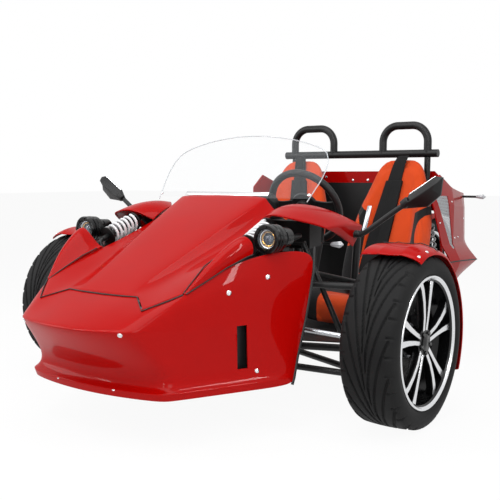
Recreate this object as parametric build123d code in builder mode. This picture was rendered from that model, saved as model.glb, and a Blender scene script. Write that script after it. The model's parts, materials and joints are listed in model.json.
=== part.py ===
"""Open two-seat car with two front wheels and one rear wheel, as separate pieces."""
import os
from math import cos, radians, sin, tan

from build123d import *

os.makedirs("parts", exist_ok=True)

# All sizes are in millimetres. Forward is -Y, the car's own left is +X, up is +Z.
# "aft" is a distance behind the front axle; the frame's zero is under the middle of the car.
WHEELBASE = 1870
NOSE_AHEAD = 850
MUDGUARD_R = 330
FRONT_AXLE_Y = (NOSE_AHEAD - WHEELBASE - MUDGUARD_R) / 2

WHEEL_X = 785
FRONT_TYRE_R = 298
FRONT_TYRE_W = 200
REAR_TYRE_R = 310
REAR_TYRE_W = 235
BEAD_R = 216
FLANGE_R = 228
SPOKE_PAIRS = 5
STUB_R = 20
REAR_AXLE_R = 14
SHAFT_GAP = 0.3
DISC_R = 125

KINGPIN_X = 690
LOWER_JOINT_Z = 170
UPPER_JOINT_Z = 450
JOINT_GAP = 0.5
STEER_ARM = 110
STEER_ARM_Z = 330
RACK_AFT = -215
RACK_Z = 350

SEAT_X = 280
HOOP_X = 258
HOOP_AFT = 1143
HOOP_TOP_Z = 1102
HOOP_TUBE_R = 19
HOOP_RISE = 137
BAR_Z = HOOP_TOP_Z - HOOP_RISE
SKIN = 6
SEAM = 0.4
BEND = 2.2
RAIL_R = 15
RAIL_Z = 175
RAIL_X = 235
FLOOR_SHEET = 4
FLOOR_TOP = RAIL_Z + RAIL_R + FLOOR_SHEET
FRONT_POST_AFT = -165
REAR_POST_AFT = 190
COLUMN_TILT = 27
HUB_AFT = 205
HUB_Z = 735
SIDES = (1, -1)


def at(x, aft, z):
    """Point in the shared frame from a distance behind the front axle."""
    return Vector(x, FRONT_AXLE_Y + aft, z)


def across(aft):
    """Upright plane square to the car's length: local x is X, local y is Z."""
    return Plane(origin=at(0, aft, 0), x_dir=(1, 0, 0), z_dir=(0, -1, 0))


def along(x):
    """Upright plane along the car's length: local x is aft, local y is Z."""
    return Plane(origin=at(x, 0, 0), x_dir=(0, 1, 0), z_dir=(1, 0, 0))


def level(z):
    """Level plane: local x is X, local y is aft."""
    return Plane(origin=at(0, 0, z))


def tube(start, end, radius, mode=Mode.ADD):
    """Straight round bar between two points, in the open part."""
    with Locations(Plane(origin=start, z_dir=end - start).location):
        Cylinder(radius, (end - start).length, align=(Align.CENTER, Align.CENTER, Align.MIN), mode=mode)


def run(points, radius):
    """Round bar bent at its corner points, in the open part."""
    with BuildLine() as path:
        FilletPolyline(*points, radius=BEND * radius)
    with BuildSketch(Plane(origin=path.line @ 0, z_dir=path.line % 0)) as section:
        Circle(radius)
    sweep(section.sketch, path=path.line)


def rail(points):
    """Frame tube through corner points (x, aft, z), in the open part."""
    places = [at(*point) for point in points]
    if len(places) == 2:
        tube(*places, RAIL_R)
    else:
        run(places, RAIL_R)


def polygon(points):
    """Closed face from corner points, in the open sketch."""
    Polygon(*points, align=None)


def strip(points, shift):
    """Outline of a skin: an open line of points and the same line moved by the shift."""
    moved = [(x + shift[0], y + shift[1]) for x, y in points]
    return points + moved[::-1]


def both(points):
    """Half an outline and its mirror image, from the left edge to the right one."""
    return points + [(-x, y) for x, y in points[::-1]]


def twin():
    """Mirror copy of the open part on the car's other side."""
    mirror(about=Plane.YZ)


def save(builder, name):
    """Label the finished piece and write its file."""
    builder.part.label = name
    export_step(builder.part, f"parts/{name}.step")
    print(name, round(builder.part.volume), "mm3")


def flipped(builder, name):
    """Write the mirror image of a left piece as the right one."""
    with BuildPart() as other:
        mirror(builder.part, about=Plane.YZ)
    save(other, name)


# Nose: level outlines from the lip up to the top edge of the side panels.
# Columns: height, front aft at the middle, corner x, corner aft, rear x, rear aft.
NOSE_LEVELS = (
    (160, -742, 308, -690, 516, -285),
    (188, -748, 314, -698, 518, -275),
    (200, -712, 302, -668, 516, -268),
    (250, -715, 300, -668, 516, -252),
    (385, -NOSE_AHEAD, 262, -782, 520, -205),
    (490, -606, 335, -580, 514, -168),
    (600, -350, 430, -335, 505, -130),
)
NOSE_CORNER_R = 55
# Seam between the nose and what lies in its opening, from the middle back along the left: (x, aft).
NOSE_OPENING = ((158, -650), (236, -713.2), (318.3, -612), (413, -372), (492, -120), (492, 60))
VENT_AFT = -442
VENT_Z = 303
VENT_HIGH = 142
VENT_WIDE = 16
VENT_ANGLE = -24


def nose_outline(z, front, corner_x, corner_aft, rear_x, rear_aft):
    """One level outline of the nose, bowed at the front and rounded at its corners."""
    with BuildSketch(level(z)) as outline:
        with BuildLine():
            ThreePointArc((-corner_x, corner_aft), (0, front), (corner_x, corner_aft))
            Polyline((corner_x, corner_aft), (rear_x, rear_aft), (-rear_x, rear_aft), (-corner_x, corner_aft))
        make_face()
        fillet(outline.vertices().sort_by(Axis.Y)[:2], NOSE_CORNER_R)
    add(outline.sketch)


with BuildPart() as nose_hollow:
    for z, front, corner_x, corner_aft, rear_x, rear_aft in NOSE_LEVELS:
        if z < 250:
            front, corner_x, corner_aft = NOSE_LEVELS[3][1:4]
        drop = SKIN if z > 200 else 5 if z < 180 else 0
        nose_outline(z - drop, front + SKIN, corner_x - SKIN, corner_aft + SKIN, rear_x - SKIN, rear_aft + 90)
    loft(ruled=True)

with BuildPart() as nose_shell:
    for row in NOSE_LEVELS:
        nose_outline(*row)
    loft(ruled=True)
    add(nose_hollow.part, mode=Mode.SUBTRACT)
    with BuildSketch(level(300)):
        polygon(both(list(NOSE_OPENING)))
    extrude(amount=400, mode=Mode.SUBTRACT)
    with BuildSketch(along(0)):
        polygon([(-380, 700), (-380, 597), (-130, 612), (-100, 700)])
    extrude(amount=600, both=True, mode=Mode.SUBTRACT)
    for side in SIDES:
        with Locations(Location(at(side * 415, VENT_AFT, VENT_Z), (0, 0, side * VENT_ANGLE))):
            Box(120, VENT_WIDE, VENT_HIGH, mode=Mode.SUBTRACT)
save(nose_shell, "nose_shell")

# Bonnet: raised middle between two long creases, as a skin through five sections.
# Columns: aft, crease x and height, valley x and height, flank x and height, edge x and height.
BONNET_SECTIONS = (
    (-720, 104, 437, 140, 435, 236, 427, 330, 424),
    (-560, 125, 512, 163, 494, 236, 490, 306, 500),
    (-450, 143, 564, 182, 540, 236, 540, 288, 552),
    (-300, 166, 632, 205, 598, 245, 595, 283, 592),
    (5, 209, 777, 240, 738, 250, 730, 258, 722),
)
BONNET_FRONT = ((158, -650 + SEAM), (236, -712.6), (317.6, -612), (345, -540), (345, 60))
with BuildPart() as bonnet:
    for aft, crease_x, crease_z, valley_x, valley_z, flank_x, flank_z, edge_x, edge_z in BONNET_SECTIONS:
        half = [(edge_x, edge_z), (flank_x, flank_z), (valley_x, valley_z), (crease_x, crease_z)]
        with BuildSketch(across(aft)):
            polygon(strip(both(half), (0, -SKIN)))
    loft(ruled=True)
    with BuildSketch(level(300)):
        polygon(both(list(BONNET_FRONT)))
    extrude(amount=600, mode=Mode.INTERSECT)
save(bonnet, "bonnet")

# Humps before the springs, between the bonnet's edge and the nose: skins open below and behind.
# Columns: aft, inner foot x and height, ridge x and height, crown x and height, outer foot x and height.
FAIRING_SECTIONS = (
    (-606, 313.25, 478, 315, 480, 318, 480, 320.3, 474),
    (-540, 303.1, 509, 322, 540, 336, 543, 346.3, 502),
    (-470, 291.7, 542, 340, 606, 358, 612, 374, 533),
    (-400, 287.1, 565, 352, 650, 384, 658, 401.6, 566),
    (-374, 286.4, 572, 358, 655, 392, 662, 411.8, 575),
)
FOOT_HIGH = 10
with BuildPart() as fairing_hollow:
    for aft, inner_x, inner_z, ridge_x, ridge_z, crown_x, crown_z, outer_x, outer_z in FAIRING_SECTIONS[1:]:
        with BuildSketch(across(aft)):
            polygon([(inner_x + SKIN, inner_z - FOOT_HIGH - 1), (inner_x + SKIN, inner_z - SKIN / 2),
                     (ridge_x + 3, ridge_z - SKIN), (crown_x - 3, crown_z - SKIN),
                     (outer_x - SKIN, outer_z - SKIN / 2), (outer_x - SKIN, outer_z - FOOT_HIGH - 1)])
    loft(ruled=True)

with BuildPart() as shock_fairings:
    for aft, inner_x, inner_z, ridge_x, ridge_z, crown_x, crown_z, outer_x, outer_z in FAIRING_SECTIONS:
        with BuildSketch(across(aft)):
            polygon([(inner_x, inner_z - FOOT_HIGH), (inner_x, inner_z), (ridge_x, ridge_z),
                     (crown_x, crown_z), (outer_x, outer_z), (outer_x, outer_z - FOOT_HIGH)])
    loft(ruled=True)
    add(fairing_hollow.part, mode=Mode.SUBTRACT)
    twin()
save(shock_fairings, "shock_fairings")

# Cowl wings beside the bonnet's rear, over the lamps and out to the mirror stalks.
# Columns: x, front aft, front height, rear aft, rear height.
COWL_SECTIONS = (
    (262, -112, 680, 2, 728),
    (340, -168, 722, 80, 748),
    (430, -172, 706, 186, 706),
    (505, -62, 676, 214, 668),
)
COWL_TIP = ((-58, 672), (213, 664), (152, 592), (70, 640))
with BuildPart() as cowl_wings:
    for x, front_aft, front_z, rear_aft, rear_z in COWL_SECTIONS:
        with BuildSketch(along(x)):
            polygon(strip([(front_aft, front_z), (rear_aft, rear_z)], (0, -SKIN)))
    loft(ruled=True)
    with BuildSketch(along(499)):
        polygon(COWL_TIP)
    extrude(amount=6)
    twin()
save(cowl_wings, "cowl_wings")

# Windscreen: a raked curved sheet cut to an arched outline.
SCREEN_R = 1500
SCREEN_THICK = 4
SCREEN_FOOT_AFT = 5 + SEAM
SCREEN_RAKE = 38
SCREEN_FOOT_HALF = 368
SCREEN_HALF = 388
SCREEN_TOP_Z = 1020
SCREEN_FOOT_Z = 771.9
with BuildPart() as windscreen:
    with BuildSketch(level(SCREEN_FOOT_Z)):
        with Locations((0, SCREEN_FOOT_AFT + SCREEN_R)):
            Circle(SCREEN_R)
            Circle(SCREEN_R - SCREEN_THICK, mode=Mode.SUBTRACT)
        with Locations((0, SCREEN_FOOT_AFT + SCREEN_R + 140)):
            Rectangle(3 * SCREEN_R, 2 * SCREEN_R, mode=Mode.SUBTRACT)
    extrude(amount=400, dir=(0, sin(radians(SCREEN_RAKE)), cos(radians(SCREEN_RAKE))))
    with BuildSketch(across(0)):
        with BuildLine():
            ThreePointArc((-SCREEN_HALF, 840), (-368, 945), (-270, 986))
            ThreePointArc((-270, 986), (0, SCREEN_TOP_Z), (270, 986))
            ThreePointArc((270, 986), (368, 945), (SCREEN_HALF, 840))
            Polyline((SCREEN_HALF, 840), (SCREEN_FOOT_HALF, 760), (240, SCREEN_FOOT_Z),
                     (-240, SCREEN_FOOT_Z), (-SCREEN_FOOT_HALF, 760), (-SCREEN_HALF, 840))
        make_face()
    extrude(amount=900, both=True, mode=Mode.INTERSECT)
save(windscreen, "windscreen")

# Dashboard under the cowl, with a round gauge pod and a hole for the column.
COLUMN_DIR = Vector(0, cos(radians(COLUMN_TILT)), sin(radians(COLUMN_TILT)))
WHEEL_HUB = at(SEAT_X - 18, HUB_AFT, HUB_Z)
COLUMN_TOP = WHEEL_HUB - COLUMN_DIR * 30
COLUMN_KNEE = WHEEL_HUB - COLUMN_DIR * 120
PINION = at(60, RACK_AFT, RACK_Z)
PINION_DIR = (COLUMN_KNEE - PINION).normalized()
COLUMN_FOOT = PINION + PINION_DIR * 50
DASH_PROFILE = ((12, 690), (12, 588.3), (95, 596.4), (118, 640), (100, 690))
GAUGE_X = 150
with BuildPart() as dashboard:
    with BuildSketch(along(0)):
        polygon(DASH_PROFILE)
    extrude(amount=400, both=True)
    with BuildSketch(along(0)):
        polygon([(5 + SEAM, 680), (5 + SEAM, SCREEN_FOOT_Z - SEAM), (30, SCREEN_FOOT_Z - SEAM), (75, 748), (100, 680)])
    extrude(amount=205, both=True)
    tube(at(GAUGE_X, 45, 735), at(GAUGE_X, 120, 750), 42)
    for start, end in ((WHEEL_HUB, COLUMN_KNEE), (COLUMN_KNEE, COLUMN_FOOT)):
        tube(start, end, 28, mode=Mode.SUBTRACT)
    with Locations(COLUMN_KNEE):
        Sphere(28, mode=Mode.SUBTRACT)
save(dashboard, "dashboard")

# Steering column, fixed, from the wheel down to the rack.
with BuildPart() as steering_column:
    run([COLUMN_TOP, COLUMN_KNEE, COLUMN_FOOT], 16)
save(steering_column, "steering_column")

# Steering wheel: ring, three spokes and hub, square to the column.
RING_R = 150
RING_TUBE_R = 14
with BuildPart(Plane(origin=WHEEL_HUB, x_dir=(1, 0, 0), z_dir=COLUMN_DIR)) as steering_wheel:
    Torus(RING_R, RING_TUBE_R)
    with Locations((0, 0, -29.7)):
        Cylinder(34, 38, align=(Align.CENTER, Align.CENTER, Align.MIN))
    for angle in (0, 180, 270):
        with Locations(Location((0, 0, 0), (0, 0, angle))):
            with Locations((RING_R / 2, 0, 0)):
                Box(RING_R, 36, 7)
save(steering_wheel, "steering_wheel")

# Rack housing bar with two tie rods that slide across the car together.
TIE_END_X = KINGPIN_X - 35
ROD_R = 9
with BuildPart() as steering_rack:
    for side in SIDES:
        inner = at(side * 236, RACK_AFT, RACK_Z)
        outer = at(side * TIE_END_X, -STEER_ARM, STEER_ARM_Z - 24)
        tube(at(0, RACK_AFT, RACK_Z), at(side * 230, RACK_AFT, RACK_Z), 13)
        tube(at(side * 220, RACK_AFT, RACK_Z), at(side * 252, RACK_AFT, RACK_Z), 18)
        tube(inner, outer, ROD_R)
        with Locations(outer):
            Cylinder(16, 24)
save(steering_rack, "steering_rack")

with BuildPart() as rack_housing:
    tube(at(-165, RACK_AFT, RACK_Z), at(165, RACK_AFT, RACK_Z), 24)
    tube(at(-170, RACK_AFT, RACK_Z), at(170, RACK_AFT, RACK_Z), 13 + SHAFT_GAP, mode=Mode.SUBTRACT)
    tube(PINION, COLUMN_FOOT - PINION_DIR * SHAFT_GAP, 20)
    for side in SIDES:
        with Locations(at(side * 150, RACK_AFT, FLOOR_TOP)):
            Box(24, 30, RACK_Z - FLOOR_TOP, align=(Align.CENTER, Align.CENTER, Align.MIN))
    tube(at(-170, RACK_AFT, RACK_Z), at(170, RACK_AFT, RACK_Z), 13 + SHAFT_GAP, mode=Mode.SUBTRACT)
save(rack_housing, "rack_housing")

# Tubular frame in three parts. Columns: list of corner points (x, aft, z) on the left side.
FRONT_RUNS = (
    ((RAIL_X, -520, RAIL_Z), (RAIL_X, REAR_POST_AFT, RAIL_Z)),
    ((RAIL_X, -520, RAIL_Z), (RAIL_X, -320, 540), (RAIL_X, REAR_POST_AFT, 590)),
    ((RAIL_X, FRONT_POST_AFT, RAIL_Z), (RAIL_X, FRONT_POST_AFT, 555)),
    ((RAIL_X, REAR_POST_AFT, RAIL_Z), (RAIL_X, REAR_POST_AFT, 590)),
)
FRONT_CROSS = (
    (RAIL_X, -520, RAIL_Z), (RAIL_X, FRONT_POST_AFT, RAIL_Z), (RAIL_X, REAR_POST_AFT, RAIL_Z),
    (RAIL_X, -320, 540), (RAIL_X, REAR_POST_AFT, 590))
LAMP_BRACKET = ((RAIL_X, -100, 562), (434, -100, 648), (434, -196, 648))
SHOCK_FOOT = at(340, -318, 612)
SHOCK_HEAD = at(326, -118, 690)
SHOCK_DIR = (SHOCK_HEAD - SHOCK_FOOT).normalized()
with BuildPart() as frame_front:
    for points in FRONT_RUNS:
        rail(points)
    run([at(*point) for point in LAMP_BRACKET], 8)
    run([at(RAIL_X, -320, 540), at(305, -332, 545), SHOCK_FOOT - SHOCK_DIR * 18, SHOCK_FOOT - SHOCK_DIR * SHAFT_GAP], 9)
    twin()
    for x, aft, z in FRONT_CROSS:
        tube(at(-x, aft, z), at(x, aft, z), RAIL_R)
save(frame_front, "frame_front")

FLOOR_RUNS = (
    ((RAIL_X + 20, 196, RAIL_Z), (440, 262, RAIL_Z), (485, 440, RAIL_Z), (485, 1060, RAIL_Z), (380, 1094.7, RAIL_Z)),
    ((440, 258, RAIL_Z), (452, 290, 640)),
)
# Columns: aft, half length, radius.
FLOOR_CROSS = ((500, 485, RAIL_R - 1), (760, 485, RAIL_R - 1), (1096, 398, RAIL_R))
with BuildPart() as frame_floor:
    for points in FLOOR_RUNS:
        rail(points)
    twin()
    for aft, half, radius in FLOOR_CROSS:
        axis_z = RAIL_Z + RAIL_R - radius
        tube(at(-half, aft, axis_z), at(half, aft, axis_z), radius)
save(frame_floor, "frame_floor")

PIVOT_AFT = 1490
PIVOT_Z = 285
REAR_RUNS = (
    ((376, 1126.3, RAIL_Z), (376, HOOP_AFT, BAR_Z - HOOP_TUBE_R - SHAFT_GAP)),
    ((376, 1127, RAIL_Z + 20), (160, 1320, 228), (118, PIVOT_AFT, PIVOT_Z)),
    ((376, 1139, 640), (200, PIVOT_AFT, 560), (166, 1640, 652)),
    ((118, PIVOT_AFT, PIVOT_Z), (200, PIVOT_AFT, 560)),
)
REAR_CROSS = ((200, PIVOT_AFT, 560), (166, 1640, 652), (160, 1320, 228))
with BuildPart() as frame_rear:
    for points in REAR_RUNS:
        rail(points)
    twin()
    for x, aft, z in REAR_CROSS:
        tube(at(-x, aft, z), at(x, aft, z), RAIL_R)
    tube(at(-143, PIVOT_AFT, PIVOT_Z), at(143, PIVOT_AFT, PIVOT_Z), 28)
save(frame_rear, "frame_rear")

# Two roll hoops on one cross bar.
HOOP_HALF = 118
HOOP_BEND_R = 80
with BuildPart() as roll_hoops:
    for side in SIDES:
        with BuildLine(across(HOOP_AFT)):
            low = side * HOOP_X - HOOP_HALF
            high = side * HOOP_X + HOOP_HALF
            FilletPolyline(
                (low, BAR_Z), (low, HOOP_TOP_Z), (high, HOOP_TOP_Z), (high, BAR_Z), radius=HOOP_BEND_R)
        with BuildSketch(Plane(origin=at(low, HOOP_AFT, BAR_Z))):
            Circle(HOOP_TUBE_R)
        sweep()
    tube(at(-430, HOOP_AFT, BAR_Z), at(430, HOOP_AFT, BAR_Z), HOOP_TUBE_R)
save(roll_hoops, "roll_hoops")

# Floor pan: one flat sheet on the rails.
FLOOR_PLAN = ((216, -400), (216, 205), (420, 282), (470, 450), (470, 1045))
with BuildPart() as floor_pan:
    with BuildSketch(level(RAIL_Z + RAIL_R)):
        polygon(both(list(FLOOR_PLAN)))
    extrude(amount=FLOOR_SHEET)
save(floor_pan, "floor_pan")

# Seats: side profile cut to a front outline, with a hollow for the sitter.
SEAT_PROFILE = (
    (470, 194), (450, 330), (500, 352), (790, 300), (905, 520), (1000, 800), (1028, 925), (1072, 938),
    (1100, 900), (1060, 700), (985, 430), (900, 194))
SEAT_HOLLOW = ((500, 400), (500, 330), (812, 262), (950, 520), (1018, 740), (930, 740), (850, 520), (760, 360))
SEAT_HALF = 205
HOLLOW_HALF = 150
with BuildPart() as seat_left:
    with BuildSketch(along(SEAT_X)):
        polygon(SEAT_PROFILE)
    extrude(amount=SEAT_HALF, both=True)
    with BuildSketch(across(0)):
        with BuildLine():
            Polyline((SEAT_X - 100, 880), (SEAT_X - 130, 780), (SEAT_X - SEAT_HALF, 660),
                     (SEAT_X - SEAT_HALF, 194), (SEAT_X + SEAT_HALF, 194), (SEAT_X + SEAT_HALF, 660),
                     (SEAT_X + 130, 780), (SEAT_X + 100, 880))
            ThreePointArc((SEAT_X + 100, 880), (SEAT_X, 938), (SEAT_X - 100, 880))
        make_face()
    extrude(amount=1300, both=True, mode=Mode.INTERSECT)
    with BuildSketch(along(SEAT_X)):
        polygon(SEAT_HOLLOW)
    extrude(amount=HOLLOW_HALF, both=True, mode=Mode.SUBTRACT)
save(seat_left, "seat_left")
flipped(seat_left, "seat_right")

# Bulkhead behind the seats.
BULKHEAD_AFT = 1168
with BuildPart() as bulkhead:
    with BuildSketch(across(BULKHEAD_AFT)):
        polygon(both([(300, 240), (341.2, 420), (341.2, 822)]))
    extrude(amount=-SKIN)
save(bulkhead, "bulkhead")

# Rear side panels: skins through upright sections, with a window for the mesh.
# Columns: aft, then x and height of five corners from the bottom up.
POD_SECTIONS = (
    (920, 470, 330, 505, 450, 498, 530, 500, 700, 496, 800),
    (1005, 480, 300, 525, 452, 500, 535, 505, 745, 498, 862),
    (1180, 480, 290, 540, 450, 500, 530, 502, 715, 488, 800),
    (1440, 430, 340, 530, 436, 455, 520, 450, 700, 432, 775),
    (1600, 330, 460, 405, 480, 402, 530, 398, 690, 390, 766),
)
POD_NOTCH = ((800, 100), (800, 735), (921, 735), (1075, 480), (1100, 100))
MESH_WINDOW = ((945, 768), (1098, 762), (1184, 512), (1160, 508))


def pod_skin(out, thick):
    """Left rear side skin, moved outward by a distance, in the open part."""
    for aft, *numbers in POD_SECTIONS:
        points = [(x + out, z) for x, z in zip(numbers[::2], numbers[1::2])]
        with BuildSketch(across(aft)) as section:
            polygon(strip(points, (-thick, 0)))
        add(section.sketch)
    loft(ruled=True)


with BuildPart() as mesh_cut:
    with BuildSketch(along(400)):
        polygon(MESH_WINDOW)
    extrude(amount=300)

with BuildPart() as side_pod_left:
    pod_skin(0, SKIN)
    add(mesh_cut.part, mode=Mode.SUBTRACT)
    with BuildSketch(along(300)):
        polygon(POD_NOTCH)
    extrude(amount=400, mode=Mode.SUBTRACT)
save(side_pod_left, "side_pod_left")
flipped(side_pod_left, "side_pod_right")

with BuildPart() as intake_meshes:
    pod_skin(-2, 2)
    add(mesh_cut.part, mode=Mode.INTERSECT)
    twin()
save(intake_meshes, "intake_meshes")

# Tail cover between the rear side panels. Columns: aft, edge x and height, crown x and height.
TAIL_SECTIONS = (
    (1180, 482.4, 795, 400, 880),
    (1440, 426.2, 772, 350, 822),
    (1600, 383.8, 763, 310, 786),
)
with BuildPart() as tail_cover:
    for aft, edge_x, edge_z, crown_x, crown_z in TAIL_SECTIONS:
        with BuildSketch(across(aft)):
            polygon(strip(both([(edge_x, edge_z), (crown_x, crown_z)]), (0, -SKIN)))
    loft(ruled=True)
    with BuildSketch(across(1174)):
        polygon(strip(both([(470, 800), (400, 880)]), (0, -66)))
    extrude(amount=-SKIN)
save(tail_cover, "tail_cover")

# Rear fascia that closes the tail, with two holes for a plate bracket.
FASCIA_AFT = 1600
PLATE_HOLE_R = 3.25
PLATE_HOLE_X = 50
PLATE_HOLE_Z = 706
LAMP_X = (240, 330)
LAMP_Z = 702
with BuildPart() as rear_fascia:
    with BuildSketch(across(FASCIA_AFT)):
        polygon(both([(250, 668), (290, 640), (396, 640), (396, 690), (384, 758), (310, 780)]))
    extrude(amount=-SKIN)
    with BuildSketch(across(FASCIA_AFT - 20)):
        with Locations((-PLATE_HOLE_X, PLATE_HOLE_Z), (PLATE_HOLE_X, PLATE_HOLE_Z)):
            Circle(PLATE_HOLE_R)
    extrude(amount=-60, mode=Mode.SUBTRACT)
save(rear_fascia, "rear_fascia")

with BuildPart() as tail_lamps:
    for x in LAMP_X:
        tube(at(x, FASCIA_AFT + SKIN, LAMP_Z), at(x, FASCIA_AFT + SKIN + 22, LAMP_Z), 38)
    twin()
save(tail_lamps, "tail_lamps")

# Engine as one block behind the seats.
with BuildPart() as engine:
    with BuildSketch(along(0)):
        polygon([(1200, 243.3), (1200, 520), (1300, 610), (1430, 540), (1440, 300), (1400, 243.3)])
    extrude(amount=100, both=True)
save(engine, "engine")

with BuildPart() as exhaust:
    run([at(-100, 1300, 330), at(-220, 1300, 330), at(-262, 1380, 335), at(-262, 1500, 350)], 20)
    tube(at(-262, 1500, 350), at(-262, 1820, 405), 52)
save(exhaust, "exhaust")

# Rear wheel carrier: two arms, pivot eyes, a brace and the axle.
ARM_X = 166
ARM_R = 22
with BuildPart() as swing_arm:
    for side in SIDES:
        tube(at(side * ARM_X, PIVOT_AFT, PIVOT_Z), at(side * ARM_X, WHEELBASE, REAR_TYRE_R), ARM_R)
        tube(at(side * 143, PIVOT_AFT, PIVOT_Z), at(side * 189, PIVOT_AFT, PIVOT_Z), 32)
        tube(at(side * 145, WHEELBASE, REAR_TYRE_R), at(side * 186, WHEELBASE, REAR_TYRE_R), 34)
    tube(at(-ARM_X, 1535, 288), at(ARM_X, 1535, 288), 10)
    tube(at(-ARM_X, WHEELBASE, REAR_TYRE_R), at(ARM_X, WHEELBASE, REAR_TYRE_R), REAR_AXLE_R)
save(swing_arm, "swing_arm")

# Coil-over units: one row per left unit, mirrored. Columns: lower end, upper end, coil radius.
COILS = (
    (SHOCK_FOOT, SHOCK_HEAD, 30),
    (at(ARM_X, 1748, 327), at(ARM_X, 1651.3, 638.6), 30),
)
COIL_WIRE_R = 5.5
COIL_TURNS = 6
COIL_PARTS = (0.16, 0.80)
with BuildPart() as dampers:
    for low, high, coil_r in COILS:
        reach = high - low
        tube(low, high, 11)
        for share, way in zip(COIL_PARTS, (-6, 6)):
            perch = low + reach * share
            tube(perch, perch + reach.normalized() * way, coil_r + 6)
    twin()
save(dampers, "dampers")

with BuildPart() as springs:
    for low, high, coil_r in COILS:
        reach = high - low
        inset = reach.normalized() * (COIL_WIRE_R + SHAFT_GAP)
        height = reach.length * (COIL_PARTS[1] - COIL_PARTS[0]) - 2 * (COIL_WIRE_R + SHAFT_GAP)
        with BuildLine() as coil:
            Helix(height / COIL_TURNS, height, coil_r, center=low + reach * COIL_PARTS[0] + inset, direction=reach)
        with BuildSketch(Plane(origin=coil.line @ 0, z_dir=coil.line % 0)):
            Circle(COIL_WIRE_R)
        sweep(path=coil.line, is_frenet=True)
    twin()
save(springs, "springs")

# Rear mudguard: an arched band over the rear tyre.
MUDGUARD_HALF = 130
MUDGUARD_FROM = -15
MUDGUARD_TO = 100
MUDGUARD_LIP = 26
with BuildPart() as mudguard:
    hub = at(0, WHEELBASE, REAR_TYRE_R)
    with BuildSketch(Plane(origin=hub, x_dir=(1, 0, 0), z_dir=(0, -1, 0))):
        polygon([(-MUDGUARD_HALF, MUDGUARD_R - MUDGUARD_LIP), (-MUDGUARD_HALF + 14, MUDGUARD_R),
                 (MUDGUARD_HALF - 14, MUDGUARD_R), (MUDGUARD_HALF, MUDGUARD_R - MUDGUARD_LIP),
                 (MUDGUARD_HALF - 5, MUDGUARD_R - MUDGUARD_LIP), (MUDGUARD_HALF - 17, MUDGUARD_R - 5),
                 (-MUDGUARD_HALF + 17, MUDGUARD_R - 5), (-MUDGUARD_HALF + 5, MUDGUARD_R - MUDGUARD_LIP)])
    revolve(axis=Axis(hub, (-1, 0, 0)), revolution_arc=MUDGUARD_TO - MUDGUARD_FROM)
mudguard_turn = Location(hub) * Location((0, 0, 0), (-MUDGUARD_FROM, 0, 0)) * Location(hub).inverse()
with BuildPart() as rear_mudguard:
    add(mudguard.part.moved(mudguard_turn))
    for side in SIDES:
        run([at(side * ARM_X, WHEELBASE, REAR_TYRE_R + 34 + SHAFT_GAP), at(side * ARM_X, WHEELBASE, 420),
             at(side * (MUDGUARD_HALF + 3), WHEELBASE + 62, 624)], 7)
save(rear_mudguard, "rear_mudguard")

# Headlamps: round housings on short brackets, with their lenses.
HEADLAMP_X = 434
HEADLAMP_AFT = -326
HEADLAMP_Z = 648
HEADLAMP_R = 42
with BuildPart() as headlamps:
    tube(at(HEADLAMP_X, HEADLAMP_AFT, HEADLAMP_Z), at(HEADLAMP_X, HEADLAMP_AFT + 60, HEADLAMP_Z), HEADLAMP_R)
    tube(at(HEADLAMP_X, HEADLAMP_AFT + 60, HEADLAMP_Z), at(HEADLAMP_X, HEADLAMP_AFT + 130, HEADLAMP_Z), 34)
    tube(at(HEADLAMP_X, HEADLAMP_AFT - 1, HEADLAMP_Z), at(HEADLAMP_X, HEADLAMP_AFT + 12, HEADLAMP_Z), 34,
         mode=Mode.SUBTRACT)
    twin()
save(headlamps, "headlamps")

with BuildPart() as lamp_lenses:
    tube(at(HEADLAMP_X, HEADLAMP_AFT + 2, HEADLAMP_Z), at(HEADLAMP_X, HEADLAMP_AFT + 12, HEADLAMP_Z), 33.7)
    twin()
save(lamp_lenses, "lamp_lenses")

# Turn signals: arrow heads on thin stalks. Columns: tip x, aft, height.
SIGNALS = ((545, 6, 612), (545, 1500, 750))
with BuildPart() as turn_signals:
    run([at(505, 6, 612), at(459, 6, 612), at(459, 6, 685)], 5)
    tube(at(421.8, 1500, 750), at(505, 1500, 750), 5)
    for tip_x, aft, z in SIGNALS:
        with BuildSketch(across(aft + 12)):
            polygon([(tip_x - 50, z - 9), (tip_x - 14, z - 14), (tip_x, z), (tip_x - 14, z + 14), (tip_x - 50, z + 9)])
        extrude(amount=24)
    twin()
save(turn_signals, "turn_signals")

# Mirrors: angular heads on thick stalks.
with BuildPart() as mirrors:
    with BuildSketch(across(178)):
        polygon([(690, 738), (720, 792), (818, 856), (845, 852), (838, 790), (790, 748)])
    extrude(amount=36, taper=8)
    run([at(505, 158, 640), at(540, 158, 640), at(712, 164, 760)], 11)
    twin()
save(mirrors, "mirrors")

# Suspension arms beside the frame's posts and rails.
ARM_BAR_R = 12
ARM_EYE_R = 14
ARM_INNER_X = RAIL_X + RAIL_R + ARM_EYE_R + SHAFT_GAP
# Columns: inner height, front eye aft, rear eye aft, joint height, lift of the bars' outer ends.
UPPER_ARM = (480, FRONT_POST_AFT, REAR_POST_AFT, UPPER_JOINT_Z + 13 + JOINT_GAP, 5)
LOWER_ARM = (RAIL_Z, -120, 120, LOWER_JOINT_Z - 13 - JOINT_GAP, -6)


def wishbone(inner_z, front_aft, rear_aft, outer_z, lift):
    """Left wishbone with its joint housing, in the open part."""
    for aft in (front_aft, rear_aft):
        tube(at(ARM_INNER_X, aft, inner_z), at(KINGPIN_X, 0, outer_z + lift), ARM_BAR_R)
        tube(at(ARM_INNER_X, aft - 20, inner_z), at(ARM_INNER_X, aft + 20, inner_z), ARM_EYE_R)
    tube(at(KINGPIN_X, 0, outer_z - 13), at(KINGPIN_X, 0, outer_z + 13), 21)


with BuildPart() as upper_arms:
    wishbone(*UPPER_ARM)
    twin()
save(upper_arms, "upper_arms")

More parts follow.
